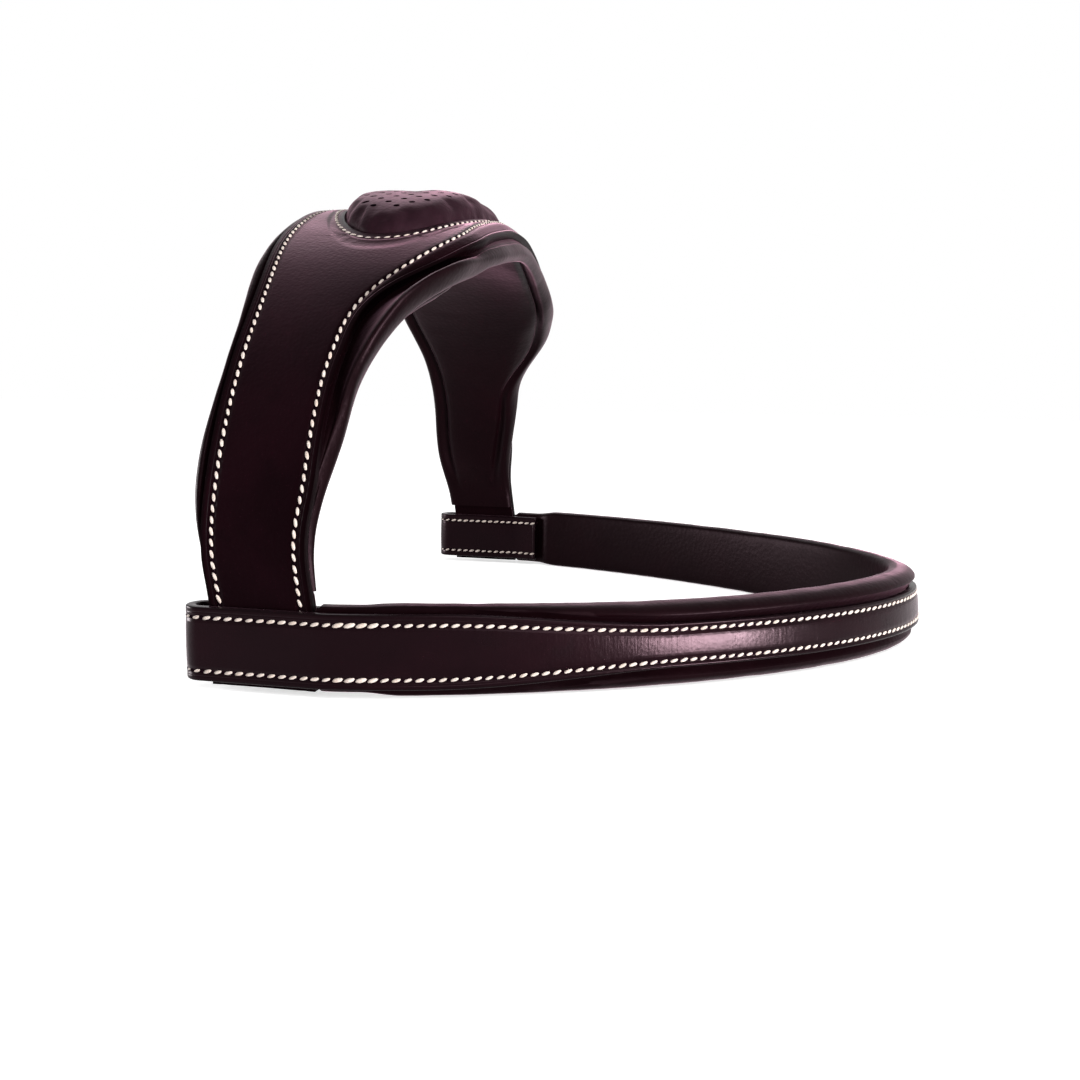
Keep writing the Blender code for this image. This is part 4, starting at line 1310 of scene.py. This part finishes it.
class BRIDLE_OT_stitching(bpy.types.Operator):
    """All the rows of stitches."""

    bl_idname = "bridle.stitching"
    bl_label = "Stitching"

    def execute(self, context):
        settings = context.scene.bridle_thread
        proud = -settings.width * 0.10
        places = np.linspace(-ARCH.length + 0.002, ARCH.length - 0.002, 700)
        lines = []
        rear_row = leather_rear(places) + settings.inset
        front_row = leather_front(places) - poll_margin(places) - settings.inset
        for forward in (rear_row, front_row):
            lines.append((arch_place(places, forward, droop(places, forward) + proud),
                          arch_normal(places), 1.0))
        stitch_rows("headpiece_edge_stitches", lines, settings, "headpiece", 3)
        angles = np.linspace(0.0, 2 * math.pi, 721)
        along, forward = cushion_edge(angles, WINDOW_PLAY + CUSHION_SEAM)
        clear = np.minimum(forward - leather_rear(along),
                           leather_front(along) - poll_margin(along) - forward)
        free = clear > settings.inset + 0.0012
        lines = []
        for sign in (-1.0, 1.0):
            chosen = free & (along * sign > 0)
            order = np.argsort(np.where(chosen, forward + 1.0, 9.0))[:chosen.sum()]
            round_middle = np.arctan2(forward[order] - CUSHION_CENTRE, np.abs(along[order]))
            ordered = order[np.argsort(np.unwrap(round_middle))]
            at, ahead = along[ordered], forward[ordered]
            lines.append((arch_place(at, ahead, droop(at, ahead) + proud), arch_normal(at), 0.95))
        stitch_rows("cushion_seam_stitches", lines, settings, "headpiece", 5)
        self.browband(settings, proud)
        return {"FINISHED"}

    def browband(self, settings, proud):
        """Two rows round the whole strap, with thicker stitches where a loop is sewn down."""
        line, out, distance, _ = strap_line()
        gap = row_gap(distance)
        up = np.array([0.0, 0.0, 1.0])
        doubled = np.abs(np.abs(distance) - SEAM_AT + 0.0012) < 0.0048
        bend = bump(line[:, 0], line[:, 0].min(), 0.0035)
        thick = np.where(doubled, 1.3, 1.0) * (1 - 0.15 * bend)
        flat = 0.00010 * ease(np.abs(distance), SEAM_AT - LOOP_CALM, SEAM_AT)
        lines = []
        for sign in (-1.0, 1.0):
            tilt = BAND_TILT * narrowing(distance) * sign * gap
            lift = proud - tilt - 0.00010 - 0.00022 * bend + flat
            row = line + out * lift[:, None] + up * (BAND_MIDDLE_Z + sign * gap)[:, None]
            lines.append((row[2:-2], out[2:-2], thick[2:-2]))
        stitch_rows("browband_stitches", lines, settings, "browband", 9)


class BRIDLE_OT_raiser(bpy.types.Operator):
    """Leather for the filler under the browband's strip, which stays as the CAD has it."""

    bl_idname = "bridle.raiser"
    bl_label = "Raiser"

    def execute(self, context):
        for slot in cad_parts["browband_raiser"].material_slots:
            slot.material = bpy.data.materials["flesh_side"]
        return {"FINISHED"}


class BRIDLE_OT_stage(bpy.types.Operator):
    """Floor, backdrop, lamps and camera."""

    bl_idname = "bridle.stage"
    bl_label = "Stage"

    def execute(self, context):
        settings = context.scene.bridle_stage
        self.floor()
        self.world()
        self.lamp("key", (0.62, -0.85, 0.85), 0.8, 0.8, settings.key_power)
        self.lamp("side", (0.55, -0.34, 0.02), 0.22, 0.06, settings.side_power)
        self.lamp("top", (-0.42, 0.72, 0.85), 0.8, 0.6, settings.top_power)
        self.lamp("left", (-0.90, -0.10, 0.12), 0.4, 0.3, settings.left_power)
        self.camera(settings.lens)
        context.scene.view_settings.view_transform = "Standard"
        return {"FINISHED"}

    def seen(self, nodes):
        """1 for the rays by which the camera sees the backdrop, also in gloss or through glass."""
        path = nodes.add("ShaderNodeLightPath").outputs
        direct = nodes.math("MAXIMUM", path["Is Camera Ray"], path["Is Transmission Ray"])
        return nodes.math("MAXIMUM", direct, path["Is Glossy Ray"])

    def floor(self):
        mesh = bpy.data.meshes.new("floor")
        corners = [(-FLOOR_REACH, -FLOOR_REACH), (FLOOR_REACH, -FLOOR_REACH),
                   (FLOOR_REACH, FLOOR_REACH), (-FLOOR_REACH, FLOOR_REACH)]
        mesh.from_pydata([(x, y, FLOOR_Z) for x, y in corners], [], [(0, 1, 2, 3)])
        material = bpy.data.materials.new("pale_floor")
        material.use_nodes = True
        tree = material.node_tree
        tree.nodes.clear()
        nodes = Nodes(tree)
        paper = nodes.add("ShaderNodeBsdfDiffuse", Color=(0.86, 0.86, 0.86, 1.0))
        place = nodes.add("ShaderNodeTexCoord").outputs["Object"]
        away = nodes.add("ShaderNodeVectorMath", {"operation": "LENGTH"}, n0=place).outputs["Value"]
        strength = nodes.ramp(away, 0.5, 1.8, 0.58, 0.95)
        glow = nodes.add("ShaderNodeEmission", Color=WHITE, Strength=strength)
        both = nodes.add("ShaderNodeAddShader", n0=paper, n1=glow)
        mixed = nodes.add("ShaderNodeMixShader", n0=self.seen(nodes), n1=paper, n2=both)
        nodes.add("ShaderNodeOutputMaterial", Surface=mixed)
        floor = add_piece("floor", mesh, "pale_floor")

    def world(self):
        world = bpy.data.worlds.new("studio")
        world.use_nodes = True
        bpy.context.scene.world = world
        tree = world.node_tree
        tree.nodes.clear()
        nodes = Nodes(tree)
        soft = nodes.add("ShaderNodeBackground", Color=WHITE, Strength=0.25)
        white = nodes.add("ShaderNodeBackground", Color=WHITE, Strength=1.0)
        mixed = nodes.add("ShaderNodeMixShader", n0=self.seen(nodes), n1=soft, n2=white)
        nodes.add("ShaderNodeOutputWorld", Surface=mixed)

    def lamp(self, name, place, width, height, power):
        data = bpy.data.lights.new(name, "AREA")
        data.shape = "RECTANGLE"
        data.size, data.size_y = width, height
        data.energy = power
        lamp = add_object(name, data)
        lamp.location = place
        aim = Vector(LAMP_AIM) - Vector(place)
        lamp.rotation_euler = aim.to_track_quat("-Z", "Y").to_euler()

    def camera(self, lens):
        level = math.cos(CAMERA_PITCH)
        forward = Vector((-math.sin(CAMERA_YAW) * level, math.cos(CAMERA_YAW) * level,
                          -math.sin(CAMERA_PITCH)))
        right = Vector((math.cos(CAMERA_YAW), math.sin(CAMERA_YAW), 0.0))
        up = right.cross(forward)
        turned = right * math.cos(CAMERA_ROLL) + up * math.sin(CAMERA_ROLL)
        upright = up * math.cos(CAMERA_ROLL) - right * math.sin(CAMERA_ROLL)
        data = bpy.data.cameras.new("photo_camera")
        data.sensor_width = 36.0
        data.lens = lens
        data.clip_start = 0.01
        camera = add_object("photo_camera", data)
        camera.matrix_world = Matrix.Translation(CAMERA_PLACE) @ Matrix(
            (turned, upright, -forward)).transposed().to_4x4()
        bpy.context.scene.camera = camera


class BRIDLE_PT_panel(bpy.types.Panel):
    """Lists the bridle's settings and pieces."""

    bl_idname = "BRIDLE_PT_panel"
    bl_label = "Bridle"
    bl_space_type = "VIEW_3D"
    bl_region_type = "UI"
    bl_category = "Bridle"

    def draw(self, context):
        for title, group in GROUPS.items():
            box = self.layout.box()
            box.label(text=group.__doc__)
            settings = getattr(context.scene, title)
            for name in group.__annotations__:
                box.prop(settings, name)
        for operator in OPERATORS:
            self.layout.operator(operator.bl_idname)


GROUPS = {"bridle_leather": BridleLeather, "bridle_thread": BridleThread,
          "bridle_cushion": BridleCushion, "bridle_stage": BridleStage}
OPERATORS = (BRIDLE_OT_materials, BRIDLE_OT_top_leather, BRIDLE_OT_backing,
             BRIDLE_OT_headpiece_lining, BRIDLE_OT_poll_cushion, BRIDLE_OT_browband_strap,
             BRIDLE_OT_browband_lining, BRIDLE_OT_stitching, BRIDLE_OT_raiser, BRIDLE_OT_stage)
CLASSES = (*GROUPS.values(), *OPERATORS, BRIDLE_PT_panel)


def register():
    for group in CLASSES:
        bpy.utils.register_class(group)
    for title, group in GROUPS.items():
        setattr(bpy.types.Scene, title, bpy.props.PointerProperty(type=group))


def unregister():
    for title in GROUPS:
        delattr(bpy.types.Scene, title)
    for group in CLASSES:
        bpy.utils.unregister_class(group)


def main():
    register()
    bpy.ops.bridle.materials()
    bpy.ops.bridle.top_leather()
    bpy.ops.bridle.backing()
    bpy.ops.bridle.headpiece_lining()
    bpy.ops.bridle.poll_cushion()
    bpy.ops.bridle.browband_strap()
    bpy.ops.bridle.browband_lining()
    bpy.ops.bridle.stitching()
    bpy.ops.bridle.raiser()
    bpy.ops.bridle.stage()


if __name__ == "__main__":
    main()
